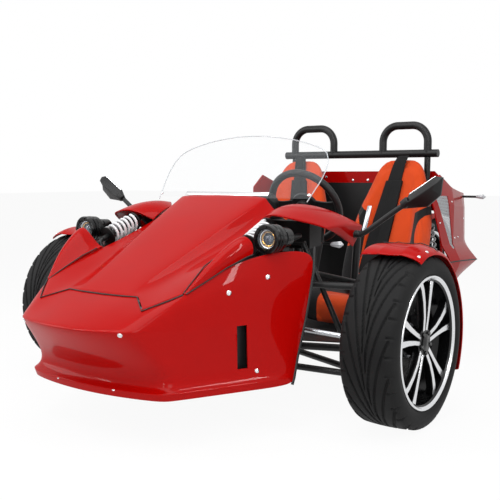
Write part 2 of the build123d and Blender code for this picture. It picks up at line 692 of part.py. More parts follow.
with BuildPart() as lower_arms:
    wishbone(*LOWER_ARM)
    tube(at(600, -26, 157), at(600, 26, 157), 9)
    tube(at(600, 0, 150), at(600, 0, 176), 12)
    twin()
save(lower_arms, "lower_arms")

# Push rods and rockers that work the front springs.
with BuildPart() as push_links:
    tube(at(600, 0, 181), at(392, -20, 612), 10)
    with BuildSketch(along(300)):
        polygon([(-40, 552), (4, 552), (4, 610), (-20, 640), (-110, 700), (-128, 682), (-40, 616)])
    extrude(amount=14.6)
    tube(at(RAIL_X + RAIL_R + SHAFT_GAP, -20, 569), at(330, -20, 569), 9)
    tube(at(305, -20, 612), at(400, -20, 612), 9)
    twin()
save(push_links, "push_links")

# Knuckles: upright, hub boss, stub axle, steering arm, brake calliper and fender stays.
with BuildPart() as knuckle_left:
    tube(at(KINGPIN_X, 0, LOWER_JOINT_Z), at(KINGPIN_X, 0, UPPER_JOINT_Z), 18)
    tube(at(KINGPIN_X - 22, 0, FRONT_TYRE_R), at(KINGPIN_X + 40, 0, FRONT_TYRE_R), 46)
    tube(at(KINGPIN_X, 0, FRONT_TYRE_R), at(WHEEL_X + 58, 0, FRONT_TYRE_R), STUB_R)
    tube(at(KINGPIN_X, 0, STEER_ARM_Z), at(TIE_END_X, -STEER_ARM, STEER_ARM_Z), 11)
    with Locations(at(TIE_END_X, -STEER_ARM, STEER_ARM_Z)):
        Cylinder(17, 22)
    with Locations(at(KINGPIN_X + 50, 118, FRONT_TYRE_R + 20)):
        Box(62, 44, 92)
    with Locations(at(KINGPIN_X + 50, 128.5, FRONT_TYRE_R + 20)):
        Box(16, 60, 100, align=(Align.CENTER, Align.MAX, Align.CENTER), mode=Mode.SUBTRACT)
    with Locations(at(KINGPIN_X + 27, 66, FRONT_TYRE_R + 12)):
        Box(16, 76, 40)
save(knuckle_left, "knuckle_left")
flipped(knuckle_left, "knuckle_right")

# Front fenders: arched bands over the tyres that turn with the wheels.
FENDER_R = 332
FENDER_IN = -118
FENDER_OUT = 104
FENDER_FROM = -20
FENDER_TO = 118
with BuildPart() as fender_band:
    hub = at(WHEEL_X, 0, FRONT_TYRE_R)
    with BuildSketch(Plane(origin=hub, x_dir=(1, 0, 0), z_dir=(0, -1, 0))):
        polygon([(FENDER_IN, 314), (FENDER_IN + 10, FENDER_R - 2), (-40, FENDER_R), (62, FENDER_R - 4), (FENDER_OUT, 290),
                 (FENDER_OUT - 5, 288), (60, FENDER_R - 10), (-40, FENDER_R - 6), (FENDER_IN + 14, FENDER_R - 8),
                 (FENDER_IN + 5, 314)])
    revolve(axis=Axis(hub, (-1, 0, 0)), revolution_arc=FENDER_TO - FENDER_FROM)
fender_turn = Location(hub) * Location((0, 0, 0), (-FENDER_FROM, 0, 0)) * Location(hub).inverse()
with BuildPart() as fender_left:
    add(fender_band.part.moved(fender_turn))
    for aft, top_z in ((105, 608), (255, 488)):
        tube(at(KINGPIN_X - 16, 48.1, FRONT_TYRE_R + 20), at(KINGPIN_X - 18, aft, top_z), 7)
save(fender_left, "fender_left")
flipped(fender_left, "fender_right")

# Wheels: tyre, rim and brake disc for each. Columns: name, hub x, aft, tyre radius and width, face side.
WHEELS = (
    ("front_left", WHEEL_X, 0, FRONT_TYRE_R, FRONT_TYRE_W, 1),
    ("front_right", -WHEEL_X, 0, FRONT_TYRE_R, FRONT_TYRE_W, -1),
    ("rear", 0, WHEELBASE, REAR_TYRE_R, REAR_TYRE_W, 1),
)
RIM_WALL = 6


def wheel_plane(hub, face):
    """Plane through a hub: local x runs out along the axle, local y is up."""
    return Plane(origin=hub, x_dir=(face, 0, 0), z_dir=(0, -face, 0))


for name, hub_x, aft, tyre_r, tyre_w, face in WHEELS:
    hub = at(hub_x, aft, tyre_r)
    axle = Axis(hub, (1, 0, 0))
    half = tyre_w / 2
    seat = half - 12
    with BuildPart() as tyre:
        with BuildSketch(wheel_plane(hub, face)):
            with BuildLine():
                Polyline((-seat, FLANGE_R), (-seat, BEAD_R), (seat, BEAD_R), (seat, FLANGE_R))
                ThreePointArc((seat, FLANGE_R), (half, (FLANGE_R + tyre_r) / 2 - 4), (half - 8, tyre_r - 16))
                ThreePointArc((half - 8, tyre_r - 16), (half - 14, tyre_r - 8), (half - 24, tyre_r - 4))
                ThreePointArc((half - 24, tyre_r - 4), (0, tyre_r), (24 - half, tyre_r - 4))
                ThreePointArc((24 - half, tyre_r - 4), (14 - half, tyre_r - 8), (8 - half, tyre_r - 16))
                ThreePointArc((8 - half, tyre_r - 16), (-half, (FLANGE_R + tyre_r) / 2 - 4), (-seat, FLANGE_R))
            make_face()
        revolve(axis=axle)
    save(tyre, f"tyre_{name}")

    with BuildPart() as rim:
        with BuildSketch(wheel_plane(hub, face)):
            outer = [(-seat - 8, FLANGE_R), (-seat, FLANGE_R), (-seat, BEAD_R), (-seat + 40, BEAD_R),
                     (-seat + 52, BEAD_R - 22), (seat - 64, BEAD_R - 22), (seat - 48, BEAD_R),
                     (seat, BEAD_R), (seat, FLANGE_R), (seat + 8, FLANGE_R)]
            inner = [(seat + 8, FLANGE_R - 8), (seat - 4, BEAD_R - RIM_WALL), (seat - 44, BEAD_R - RIM_WALL),
                     (seat - 60, BEAD_R - 22 - RIM_WALL), (-seat + 48, BEAD_R - 22 - RIM_WALL),
                     (-seat + 36, BEAD_R - RIM_WALL), (-seat + 4, BEAD_R - RIM_WALL), (-seat - 8, FLANGE_R - 8)]
            polygon(outer + inner)
        revolve(axis=axle)
        with BuildSketch(Plane(origin=hub, x_dir=(0, 1, 0), z_dir=(face, 0, 0)).offset(seat - 30)):
            for pair in range(SPOKE_PAIRS):
                with BuildLine(Rotation(0, 0, 90 + pair * 360 / SPOKE_PAIRS)):
                    Polyline((40, 4), (40, 24), (BEAD_R - 12, 62), (BEAD_R - 12, 30), close=True)
                make_face()
                with BuildLine(Rotation(0, 0, 90 + pair * 360 / SPOKE_PAIRS)):
                    Polyline((40, -4), (40, -24), (BEAD_R - 12, -62), (BEAD_R - 12, -30), close=True)
                make_face()
            Circle(58)
        extrude(amount=26)
        out = Vector(face, 0, 0)
        tube(hub + out * 18, hub + out * (seat - 4), 46)
        bore_r = STUB_R if aft == 0 else REAR_AXLE_R
        bore_to = 58 + SHAFT_GAP if aft == 0 else seat + 40
        tube(hub - out * 140, hub + out * bore_to, bore_r + SHAFT_GAP, mode=Mode.SUBTRACT)
    save(rim, f"rim_{name}")

    with BuildPart() as disc:
        tube(hub - out * 50, hub - out * 40, DISC_R)
        tube(hub - out * 45, hub + out * 18, 60)
        tube(hub - out * 140, hub + out * 90, bore_r + SHAFT_GAP, mode=Mode.SUBTRACT)
    save(disc, f"disc_{name}")
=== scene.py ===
# %% [markdown]
# # A three-wheeled open car
# The solids of the car come packed from the CAD model and stay fixed. This lesson dresses them: it adds
# the camera and the light, mixes the finishes, and models the pieces that need more than a plain solid.
# Sizes are in millimetres where they are typed, and become metres in one place, the helper `at`.

# %% Load the solids
import json
from math import cos, pi, radians, sin

import bpy
from mathutils import Matrix, Vector


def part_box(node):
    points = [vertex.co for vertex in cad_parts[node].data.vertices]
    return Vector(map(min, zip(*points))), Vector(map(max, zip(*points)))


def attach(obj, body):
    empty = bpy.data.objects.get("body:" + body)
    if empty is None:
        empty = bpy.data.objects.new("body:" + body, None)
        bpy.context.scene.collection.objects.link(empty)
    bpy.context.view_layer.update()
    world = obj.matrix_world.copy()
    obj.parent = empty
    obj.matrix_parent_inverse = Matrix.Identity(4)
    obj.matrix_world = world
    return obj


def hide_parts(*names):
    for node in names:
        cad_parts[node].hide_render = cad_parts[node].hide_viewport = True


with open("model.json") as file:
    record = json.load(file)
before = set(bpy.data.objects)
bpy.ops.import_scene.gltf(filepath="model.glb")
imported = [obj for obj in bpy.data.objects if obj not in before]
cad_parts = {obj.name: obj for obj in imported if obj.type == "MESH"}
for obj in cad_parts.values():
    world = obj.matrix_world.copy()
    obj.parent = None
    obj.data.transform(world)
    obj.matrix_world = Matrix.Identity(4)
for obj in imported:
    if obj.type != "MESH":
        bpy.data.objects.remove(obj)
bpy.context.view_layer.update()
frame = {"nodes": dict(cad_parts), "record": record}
FRONT_AXLE_Y = -675


def at(x, aft, z):
    """Point in metres from millimetres: left of the middle, behind the front axle, above the floor."""
    return Vector((x, FRONT_AXLE_Y + aft, z)) / 1000


# %% [markdown]
# ## The camera
# The photograph was taken from the car's left front, a little above the wheels. The place, the direction
# and the lens were worked out from the wheels and the frame, so the render lines up with the photograph.

# %% Set the camera
CAMERA_AT = (1900, -2473, 859)
CAMERA_AZIMUTH, CAMERA_DOWN = radians(35.701), radians(5.504)
LENS_MM, SENSOR_MM = 56.68, 36
SHIFT = (0.00654, 0.00256)
bpy.ops.object.select_all(action="DESELECT")
bpy.ops.object.camera_add(location=at(*CAMERA_AT))
camera = bpy.context.object
camera.rotation_euler = (pi / 2 - CAMERA_DOWN, 0, CAMERA_AZIMUTH)
camera.data.lens = LENS_MM
camera.data.sensor_width = SENSOR_MM
camera.data.shift_x, camera.data.shift_y = SHIFT
bpy.context.scene.camera = camera
bpy.context.scene.view_settings.view_transform = "Standard"
print("camera at", tuple(round(v, 3) for v in camera.location))

# %% [markdown]
# ## Shader maths in Python
# A material is a tree of nodes. One small class wraps an output socket, so that a mask or a colour can be
# worked out with plain operators, and one method adds every other kind of node.


# %% Wrap a socket
class Mix:
    """An output socket of a material, which takes part in Python expressions."""

    def __init__(self, tree, socket=None):
        self.tree = tree
        self.socket = socket

    def node(self, kind, settings=None, inputs=None, output=0):
        """Add a node, set it up, fill or link its inputs, and return one of its outputs."""
        made = self.tree.nodes.new("ShaderNode" + kind)
        for key, value in (settings or {}).items():
            if key == "stops":
                ramp = made.color_ramp.elements
                while len(ramp) < len(value):
                    ramp.new(1)
                for stop, (place, grey) in zip(ramp, value):
                    stop.position = place
                    stop.color = (grey, grey, grey, 1)
            else:
                setattr(made, key, value)
        for key, value in (inputs or {}).items():
            if isinstance(value, Mix):
                self.tree.links.new(value.socket, made.inputs[key])
            else:
                made.inputs[key].default_value = value
        return Mix(self.tree, made.outputs[output] if made.outputs else None)

    def math(self, operation, first, second=0.0):
        return self.node("Math", {"operation": operation}, {0: first, 1: second})

    def __add__(self, other):
        return self.math("ADD", self, other)

    def __mul__(self, other):
        return self.math("MULTIPLY", self, other)

    def __sub__(self, other):
        return self.math("SUBTRACT", self, other)

    def __rsub__(self, other):
        return self.math("SUBTRACT", other, self)

    def __truediv__(self, other):
        return self.math("DIVIDE", self, other)

    def __rtruediv__(self, other):
        return self.math("DIVIDE", other, self)

    def __gt__(self, other):
        return self.math("GREATER_THAN", self, other)

    def __lt__(self, other):
        return self.math("LESS_THAN", self, other)

    __radd__ = __add__
    __rmul__ = __mul__

    def blend(self, low, high):
        """Colour between two colours, by this mask."""
        return self.node("Mix", {"data_type": "RGBA"}, {"Factor": self, 6: low, 7: high}, 2)


def colour(*rgb):
    """Linear colour from the 0 to 255 numbers that a paint chart gives."""
    return tuple((v / 255 / 12.92 if v < 11 else ((v / 255 + 0.055) / 1.055) ** 2.4) for v in rgb) + (1.0,)


FINISHES = {}
CLOUD_SCALE, CLOUD_DARK, ROUGH_SPREAD = 9.0, 0.86, 0.10


def empty_tree(owner):
    """Empty node tree of a material or a world, wrapped for mixing."""
    owner.use_nodes = True
    owner.node_tree.nodes.clear()
    return Mix(owner.node_tree)


def finish(name, base, rough, bump=0.0, bump_scale=400.0, recipe=None, **constant):
    """A finish: a base colour with slight cloudy variation, roughness spread and fine bump."""
    material = bpy.data.materials.new(name)
    tools = empty_tree(material)
    place = tools.node("TexCoord", output="Object")
    cloud = tools.node("TexNoise", None, {"Vector": place, "Scale": CLOUD_SCALE, "Detail": 3.0})
    darker = tuple(v * CLOUD_DARK for v in base[:3]) + (1.0,)
    shader = {"Base Color": cloud.blend(darker, base),
              "Roughness": cloud * ROUGH_SPREAD + (rough - ROUGH_SPREAD / 2)}
    if bump:
        fine = tools.node("TexNoise", None, {"Vector": place, "Scale": bump_scale, "Detail": 2.0})
        shader["Normal"] = tools.node("Bump", None, {"Strength": bump, "Distance": 0.0006, "Height": fine})
    if recipe:
        shader.update(recipe(tools, place, cloud))
    for key, value in constant.items():
        shader[key.replace("_", " ").title().replace("Ior", "IOR")] = value
    surface = tools.node("BsdfPrincipled", None, shader)
    tools.node("OutputMaterial", None, {"Surface": surface})
    FINISHES[name] = material


print("shader tools ready")

# %% [markdown]
# ## Floor, backdrop and light
# The photograph shows the car on plain white under soft light. The floor is a wide sheet that meets the
# camera as white but still takes the car's soft shadow. A large lamp above, two side lamps and three
# narrow strips give the gloss its long bright reflections.

# %% Build the studio
FLOOR_SIZE, FLOOR_Z, FLOOR_GREY, WHITE_SHARE = 60, -0.0006, 0.86, 0.94
AIR_LIGHT, SHOWN_LIGHT = 0.25, 1.0
WHITE = (1, 1, 1, 1)


def is_seen(tools):
    """1 on a ray from the camera, straight, by gloss or through glass, and 0 on a ray of light alone."""
    straight, gloss, through = (tools.node("LightPath", output="Is " + kind + " Ray")
                                for kind in ("Camera", "Glossy", "Transmission"))
    return tools.math("MINIMUM", straight + gloss + through, 1.0)


bpy.ops.mesh.primitive_plane_add(size=FLOOR_SIZE, location=(0, 0, FLOOR_Z))
floor = bpy.context.object
floor.name = "studio_floor"
floor_paint = bpy.data.materials.new("studio_floor")
tools = empty_tree(floor_paint)
matt = tools.node("BsdfDiffuse", None, {"Color": (FLOOR_GREY, FLOOR_GREY, FLOOR_GREY, 1)})
glow = tools.node("Emission", None, {"Color": WHITE, "Strength": SHOWN_LIGHT})
lit = tools.node("MixShader", None, {0: WHITE_SHARE, 1: matt, 2: glow})
shown = tools.node("MixShader", None, {0: is_seen(tools), 1: matt, 2: lit})
tools.node("OutputMaterial", None, {"Surface": shown})
floor.data.materials.append(floor_paint)

world = bpy.data.worlds.new("studio_air")
bpy.context.scene.world = world
tools = empty_tree(world)
air = tools.node("Background", None, {"Color": WHITE, "Strength": AIR_LIGHT})
bright = tools.node("Background", None, {"Color": WHITE, "Strength": SHOWN_LIGHT})
shown = tools.node("MixShader", None, {0: is_seen(tools), 1: air, 2: bright})
tools.node("OutputWorld", None, {"Surface": shown})

# Columns: name, place, what it points at, width, length, watts.
LAMPS = (
    ("lamp_top", (300, -900, 3600), (0, 300, 500), 2.6, 3.6, 78),
    ("lamp_right", (-3000, -1600, 1900), (-200, -200, 500), 1.6, 2.6, 36),
    ("lamp_front", (2900, -2600, 2300), (200, 0, 400), 1.4, 2.0, 34),
    ("strip_left", (2600, -300, 2100), (300, -300, 500), 0.14, 2.4, 26),
    ("strip_right", (-1500, -1900, 2600), (0, -300, 500), 0.14, 2.4, 26),
    ("strip_nose", (900, -3200, 1700), (100, -700, 400), 0.12, 1.8, 18),
)
for name, place, target, wide, long, watts in LAMPS:
    bpy.ops.object.light_add(type="AREA", location=at(*place))
    lamp = bpy.context.object
    lamp.name = name
    lamp.data.shape = "RECTANGLE"
    lamp.data.size, lamp.data.size_y, lamp.data.energy = wide, long, watts
    lamp.rotation_euler = (at(*target) - at(*place)).to_track_quat("-Z", "Y").to_euler()
print("lamps:", len(LAMPS))

# %% [markdown]
# ## Finishes
# Each material slot of the car gets one finish. The paint is a deep red under a clear coat, with a faint
# ripple as sprayed paint has. The frame is satin powder coat, the trim is grained plastic, the seats are
# woven cloth, and the metals are brushed, cast or polished.

# %% Mix the finishes
RED = colour(168, 4, 2)
ORANGE = colour(214, 74, 22)


def flake(tools, place, cloud):
    """Paint: a long, faint ripple."""
    ripple = tools.node("TexNoise", None, {"Vector": place, "Scale": 45.0, "Detail": 1.0})
    return {"Normal": tools.node("Bump", None, {"Strength": 0.05, "Distance": 0.002, "Height": ripple})}


def grain(tools, place, cloud):
    """Moulded plastic or powder coat: small closed cells that catch the light."""
    cells = tools.node("TexVoronoi", None, {"Vector": place, "Scale": 900.0})
    return {"Normal": tools.node("Bump", None, {"Strength": 0.35, "Distance": 0.0004, "Height": cells})}


def weave(tools, place, cloud):
    """Woven cloth: two crossed sets of threads."""
    thread = {"Vector": place, "Scale": 130.0, "Distortion": 0.6}
    warp, weft = (tools.node("TexWave", {"bands_direction": axis}, thread) for axis in "XZ")
    return {"Normal": tools.node("Bump", None, {"Strength": 0.5, "Distance": 0.0008, "Height": warp * weft})}


# The seat cover's parts in metres. Distances out from the seat's middle are shares of its half width.
PAD_X, PAD_HALF = 0.28, 0.205
OVAL_OUT, OVAL_Z, OVAL_WIDE_SQUARED, OVAL_HIGH_SQUARED = 0.92, 0.60, 0.048, 0.0061
BOLSTER_OUT, BOLSTER_TOP, BOLSTER_RISE = 0.58, 0.615, 0.12
BACK_FOOT, BACK_LEAN, BACK_LOW = 0.088, 0.36, 0.34


def cover(tools, place, cloud):
    """Seat cover: black bolsters with an orange oval and a black back, sewn to an orange middle."""
    x, y, z = (tools.node("SeparateXYZ", None, {"Vector": place}, axis) for axis in (0, 1, 2))
    out = tools.math("ABSOLUTE", tools.math("ABSOLUTE", x) - PAD_X) / PAD_HALF
    aside, above = out - OVAL_OUT, z - OVAL_Z
    oval = aside * aside / OVAL_WIDE_SQUARED + above * above / OVAL_HIGH_SQUARED
    bolster = (out > BOLSTER_OUT) * (z < out * BOLSTER_RISE + BOLSTER_TOP) * (oval > 1.0)
    back = (y > z * BACK_LEAN + BACK_FOOT) * (z > BACK_LOW)
    black = tools.math("MAXIMUM", bolster, back)
    look = weave(tools, place, cloud)
    look["Base Color"] = black.blend(cloud.blend(colour(190, 60, 16), ORANGE), colour(17, 17, 18))
    return look


def rubber(tools, place, cloud):
    """Tyre rubber: dusty grey film over black."""
    dust = tools.node("ValToRGB", {"stops": ((0.35, 0.0), (0.8, 1.0))}, {"Fac": cloud})
    return {"Base Color": dust.blend(colour(12, 12, 13), colour(24, 24, 24))}


def brushed(tools, place, cloud):
    """Turned or brushed metal: fine streaks in the roughness."""
    streak = tools.node("TexNoise", None, {"Vector": place, "Scale": 260.0, "Detail": 4.0})
    return {"Roughness": streak * 0.22 + 0.14}


HOLES_PER_METRE, HOLE_SQUARED = 143.0, 0.11


def perforated(tools, place, cloud):
    """Perforated sheet: round holes in staggered rows, 7 millimetres apart."""
    across, up = (tools.node("SeparateXYZ", None, {"Vector": place}, axis) * HOLES_PER_METRE for axis in (1, 2))
    shift = tools.math("FLOOR", up) * 0.5
    u = tools.math("FRACT", across + shift) - 0.5
    v = tools.math("FRACT", up) - 0.5
    return {"Alpha": (u * u + v * v) > HOLE_SQUARED}


finish("body_red", RED, 0.34, recipe=flake, specular_ior_level=0.03, coat_weight=0.19, coat_roughness=0.02)
finish("frame_black", colour(13, 13, 14), 0.38, recipe=grain, specular_ior_level=0.3)
finish("trim_black", colour(17, 17, 18), 0.46, recipe=grain, specular_ior_level=0.3)
finish("tyre", colour(30, 30, 30), 0.72, bump=0.25, bump_scale=700.0, recipe=rubber, specular_ior_level=0.2)
finish("wheel_alloy", colour(8, 8, 9), 0.26, bump=0.05, specular_ior_level=0.3)
finish("wheel_face", colour(226, 227, 229), 0.25, recipe=brushed, metallic=1.0)
finish("steel", colour(170, 172, 176), 0.30, recipe=brushed, metallic=1.0)
finish("seat_fabric", ORANGE, 0.86, recipe=cover, specular_ior_level=0.2, sheen_weight=0.15)
finish("webbing", colour(12, 12, 13), 0.75, recipe=weave, specular_ior_level=0.2)
finish("spring_white", colour(226, 228, 230), 0.32, bump=0.08)
finish("mesh_steel", colour(176, 178, 181), 0.35, recipe=perforated, metallic=1.0)
finish("engine_cast", colour(88, 89, 92), 0.55, bump=0.5, bump_scale=260.0, metallic=0.8)
finish("rubber_seal", colour(14, 14, 15), 0.60, bump=0.1)
finish("lamp_red", colour(150, 8, 8), 0.12, coat_weight=1.0)
finish("signal_plastic", colour(196, 199, 203), 0.12, alpha=0.86, coat_weight=1.0)
finish("lamp_glass", colour(214, 226, 238), 0.04, alpha=0.07)
finish("clear_screen", colour(200, 206, 210), 0.22, alpha=0.045, specular_ior_level=0.1)
finish("mirror_glass", colour(200, 206, 212), 0.05, metallic=1.0)
for entry in frame["record"]["subparts"]:
    node = frame["nodes"][entry["node"]]
    node.data.materials.clear()
    node.data.materials.append(FINISHES[entry["material_slot"]])
print("finishes:", len(FINISHES))

# %% [markdown]
# ## Helpers for modelling
# A body panel is a bent sheet. By hand one would add a grid, drag its rows onto the section lines of the
# panel, crease the sharp folds, round the rest with a subdivision surface and give the sheet its wall.
# These helpers do the same, so that each panel is a short table of section points.


# %% Make the helpers
def clear():
    """Leave edit mode and drop every selection."""
    if bpy.context.object and bpy.context.object.mode != "OBJECT":
        bpy.ops.object.mode_set(mode="OBJECT")
    bpy.ops.object.select_all(action="DESELECT")


def only(piece):
    """Make a piece the one that is selected and active."""
    clear()
    piece.select_set(True)
    bpy.context.view_layer.objects.active = piece


def apply(piece, kind, **settings):
    """Add a modifier with its settings and apply it at once."""
    only(piece)
    modifier = piece.modifiers.new(kind.lower(), kind)
    for key, value in settings.items():
        setattr(modifier, key, value)
    bpy.ops.object.modifier_apply(modifier=modifier.name)
    return piece


def round_off(piece, levels):
    """Subdivision surface."""
    return apply(piece, "SUBSURF", levels=levels, render_levels=levels)


def wall(piece, thick):
    """Wall of a sheet, on its inner side, with its thickness in millimetres."""
    return apply(piece, "SOLIDIFY", thickness=thick / 1000, offset=-1)


def thicken(piece, thick):
    """Thickness of a sheet in millimetres, half of it on each side."""
    return apply(piece, "SOLIDIFY", thickness=thick / 1000, offset=0)


def soften(piece, width, segments=2, angle=35):
    """Rounded edges, with the width in millimetres."""
    return apply(piece, "BEVEL", width=width / 1000, segments=segments, limit_method="ANGLE",
                 angle_limit=radians(angle))


def sheet_of(name, rows, creases=None, closed=False, corners=()):
    """Grid whose rows lie on section lines of points (x, aft, z). Closed joins the last row to the first.
    Creases keep lines sharp, and corners keep points (row, column) sharp."""
    clear()
    wide, long = len(rows[0]), len(rows)
    bpy.ops.mesh.primitive_grid_add(x_subdivisions=wide - 1, y_subdivisions=long - 1, size=1)
    piece = bpy.context.object
    piece.name = name
    for vertex, point in zip(piece.data.vertices, (point for row in rows for point in row)):
        vertex.co = at(*point)
    marks = piece.data.attributes.new("crease_edge", "FLOAT", "EDGE")
    for edge in piece.data.edges:
        low, high = sorted(edge.vertices)
        line = ("row", low // wide) if high - low == 1 else ("column", low % wide)
        marks.data[edge.index].value = (creases or {}).get(line, 0.0)
    sharp = piece.data.attributes.new("crease_vert", "FLOAT", "POINT")
    for row, column in corners:
        sharp.data[row * wide + column].value = 1.0
    if closed:
        merge(piece)
    return piece


WELD_METRES = 0.00002


def merge(piece):
    """Weld vertices that lie on each other."""
    only(piece)
    bpy.ops.object.mode_set(mode="EDIT")
    bpy.ops.mesh.select_all(action="SELECT")
    bpy.ops.mesh.remove_doubles(threshold=WELD_METRES)
    bpy.ops.mesh.normals_make_consistent(inside=False)
    bpy.ops.object.mode_set(mode="OBJECT")


def cap(piece):
    """Close the open ends of a piece."""
    only(piece)
    bpy.ops.object.mode_set(mode="EDIT")
    bpy.ops.mesh.select_mode(type="EDGE")
    bpy.ops.mesh.select_all(action="DESELECT")
    bpy.ops.mesh.select_non_manifold()
    bpy.ops.mesh.edge_face_add()
    bpy.ops.mesh.select_all(action="SELECT")
    bpy.ops.mesh.normals_make_consistent(inside=False)
    bpy.ops.object.mode_set(mode="OBJECT")
    return piece


def on_side(side, points):
    """Points of the left side, or their mirror image where the side is -1."""
    return [(side * x, aft, z) for x, aft, z in points]


def both_halves(half):
    """Whole row from its left half, which starts at the middle line."""
    return on_side(-1, half[:0:-1]) + list(half)


def around(count, shift=0):
    """Even turns round a circle, from a shift that is a share of one step."""
    return [2 * pi * (step + shift) / count for step in range(count)]


def mirrored(piece, name):
    """Copy of a piece on the car's other side."""
    only(piece)
    bpy.ops.object.duplicate()
    copy = bpy.context.object
    copy.name = name
    copy.data.transform(Matrix.Scale(-1, 4, (1, 0, 0)))
    copy.data.flip_normals()
    return copy


def join(name, pieces):
    """One piece from several."""
    only(pieces[0])
    for piece in pieces[1:]:
        piece.select_set(True)
    bpy.ops.object.join()
    pieces[0].name = name
    return pieces[0]


def pair(name, left):
    """A piece of the left side and its mirror image, as one piece."""
    return join(name, [left, mirrored(left, name + "_right")])


def panel(name, rows, thick, creases, levels=3, corners=()):
    """Body panel: a rounded sheet with its wall in millimetres."""
    return wall(round_off(sheet_of(name, rows, creases, corners=corners), levels), thick)


def fit(piece, finish_name, body, *nodes, slot=None, smooth=32):
    """Give a piece its finish and smooth shading, and let it ride on its body."""
    only(piece)
    bpy.ops.object.shade_smooth_by_angle(angle=radians(smooth))
    piece.data.materials.clear()
    piece.data.materials.append(FINISHES[finish_name])
    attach(piece, body)
    if nodes:
        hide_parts(*nodes)


def block(name, centre, size, turn=0):
    """Box with its centre and sizes in millimetres, turned about the upright by degrees."""
    clear()
    bpy.ops.mesh.primitive_cube_add(size=1, location=at(*centre), rotation=(0, 0, radians(turn)))
    piece = bpy.context.object
    piece.name = name
    piece.scale = [length / 1000 for length in size]
    bpy.ops.object.transform_apply(location=True, rotation=True, scale=True)
    return piece


ROD_SIDES = 3


def rod(name, points, radius):
    """Round bar or bead through points (x, aft, z), as a bevelled curve turned into a mesh."""
    clear()
    line = bpy.data.curves.new(name, "CURVE")
    line.dimensions = "3D"
    line.bevel_depth = radius / 1000
    line.bevel_resolution = ROD_SIDES
    line.use_fill_caps = True
    spline = line.splines.new("POLY")
    spline.points.add(len(points) - 1)
    for dot, point in zip(spline.points, points):
        dot.co = (*at(*point), 1)
    piece = bpy.data.objects.new(name, line)
    bpy.context.scene.collection.objects.link(piece)
    only(piece)
    bpy.ops.object.convert(target="MESH")
    return bpy.context.object


def between(low, high, share):
    """Point or row of numbers part of the way from one to another."""
    return tuple(a + (b - a) * share for a, b in zip(low, high))


print("helpers ready")

# %% [markdown]
# ## Nose shell
# The nose is one moulded panel: a lip near the road, a hollow above it, a sharp brow across the front and
# two tall sides that run back to the wheels. Its top edge steps where the bonnet's two tongues reach in.

# %% Model the nose
# Columns: height, front aft at the middle, corner x, corner aft, rear x, rear aft.
NOSE_LEVELS = (
    (160, -742, 308, -690, 516, -285),
    (184, -747, 313, -697, 518, -276),
    (200, -714, 303, -670, 516, -268),
    (250, -716, 301, -669, 516, -252),
    (372, -842, 266, -776, 520, -209),
    (388, -849, 262, -782, 520, -204),
)
NOSE_TOP = [(0, -655, 467), (90, -654, 468), (158, -650, 470), (236, -713, 441), (287, -655, 467),
            (318, -612, 486), (364, -500, 546), (413, -372, 598), (505, -130, 612)]
CORNER_CUT, CORNER_TIP, AFTER_CORNER = 34, 0.55, 0.07
FRONT_SHARES, SIDE_SHARES = (0, 0.36, 0.66), (0.36, 0.68)


def nose_row(z, front, corner_x, corner_aft, rear_x, rear_aft):
    """Left half of one level line of the nose, bowed in front and rounded at the corner."""
    def bow(x):
        return (x, front + (corner_aft - front) * (x / corner_x) ** 2, z)

    corner = (corner_x, corner_aft, z)
    rear = (rear_x, rear_aft, z)
    before, after = bow(corner_x - CORNER_CUT), between(corner, rear, AFTER_CORNER)
    tip = between(between(before, after, 0.5), corner, CORNER_TIP)
    return [bow(share * corner_x) for share in FRONT_SHARES] + [before, tip, after] + [
        between(corner, rear, share) for share in SIDE_SHARES] + [rear]


# The shoulder lies between brow and top edge, lifted a little, and pushed out at the sides.
SHOULDER_SHARE, SHOULDER_LIFT, SHOULDER_OUT, SIDE_X = 0.62, 4, 9, 300
brow = nose_row(*NOSE_LEVELS[-1])
shoulder = [between(low, high, SHOULDER_SHARE) for low, high in zip(brow, NOSE_TOP)]
shoulder = [(x + (SHOULDER_OUT if x > SIDE_X else 0), aft, z + SHOULDER_LIFT) for x, aft, z in shoulder]
nose_rows = [both_halves(nose_row(*row)) for row in NOSE_LEVELS]
nose_rows += [both_halves(shoulder), both_halves(NOSE_TOP)]
BROW, TOP, NOSE_MIDDLE = len(NOSE_LEVELS) - 1, len(nose_rows) - 1, len(NOSE_TOP) - 1
nose_creases = {("row", 0): 1.0, ("row", 1): 0.7, ("row", TOP): 1.0, ("row", BROW): 0.45}
tongue = [(TOP, NOSE_MIDDLE + side * column) for column in (2, 3, 5) for side in (1, -1)]
nose = panel("nose_panel", nose_rows, 5, nose_creases, corners=tongue)

VENT_AT, VENT_SIZE, VENT_TURN = (430, -442, 303), (140, 38, 142), -24
for side in (1, -1):
    cutter = block("cutter", (side * VENT_AT[0], *VENT_AT[1:]), VENT_SIZE, side * VENT_TURN)
    apply(nose, "BOOLEAN", object=cutter, operation="DIFFERENCE", solver="EXACT")
    bpy.data.objects.remove(cutter)
soften(nose, 1.2)
fit(nose, "body_red", "chassis", "nose_shell")
print("nose faces:", len(nose.data.polygons))

# %% [markdown]
# ## Bonnet
# A raised middle runs back from the nose between two creases, with a valley and a flank on each side. The
# front edge has two tongues that reach into the nose panel.

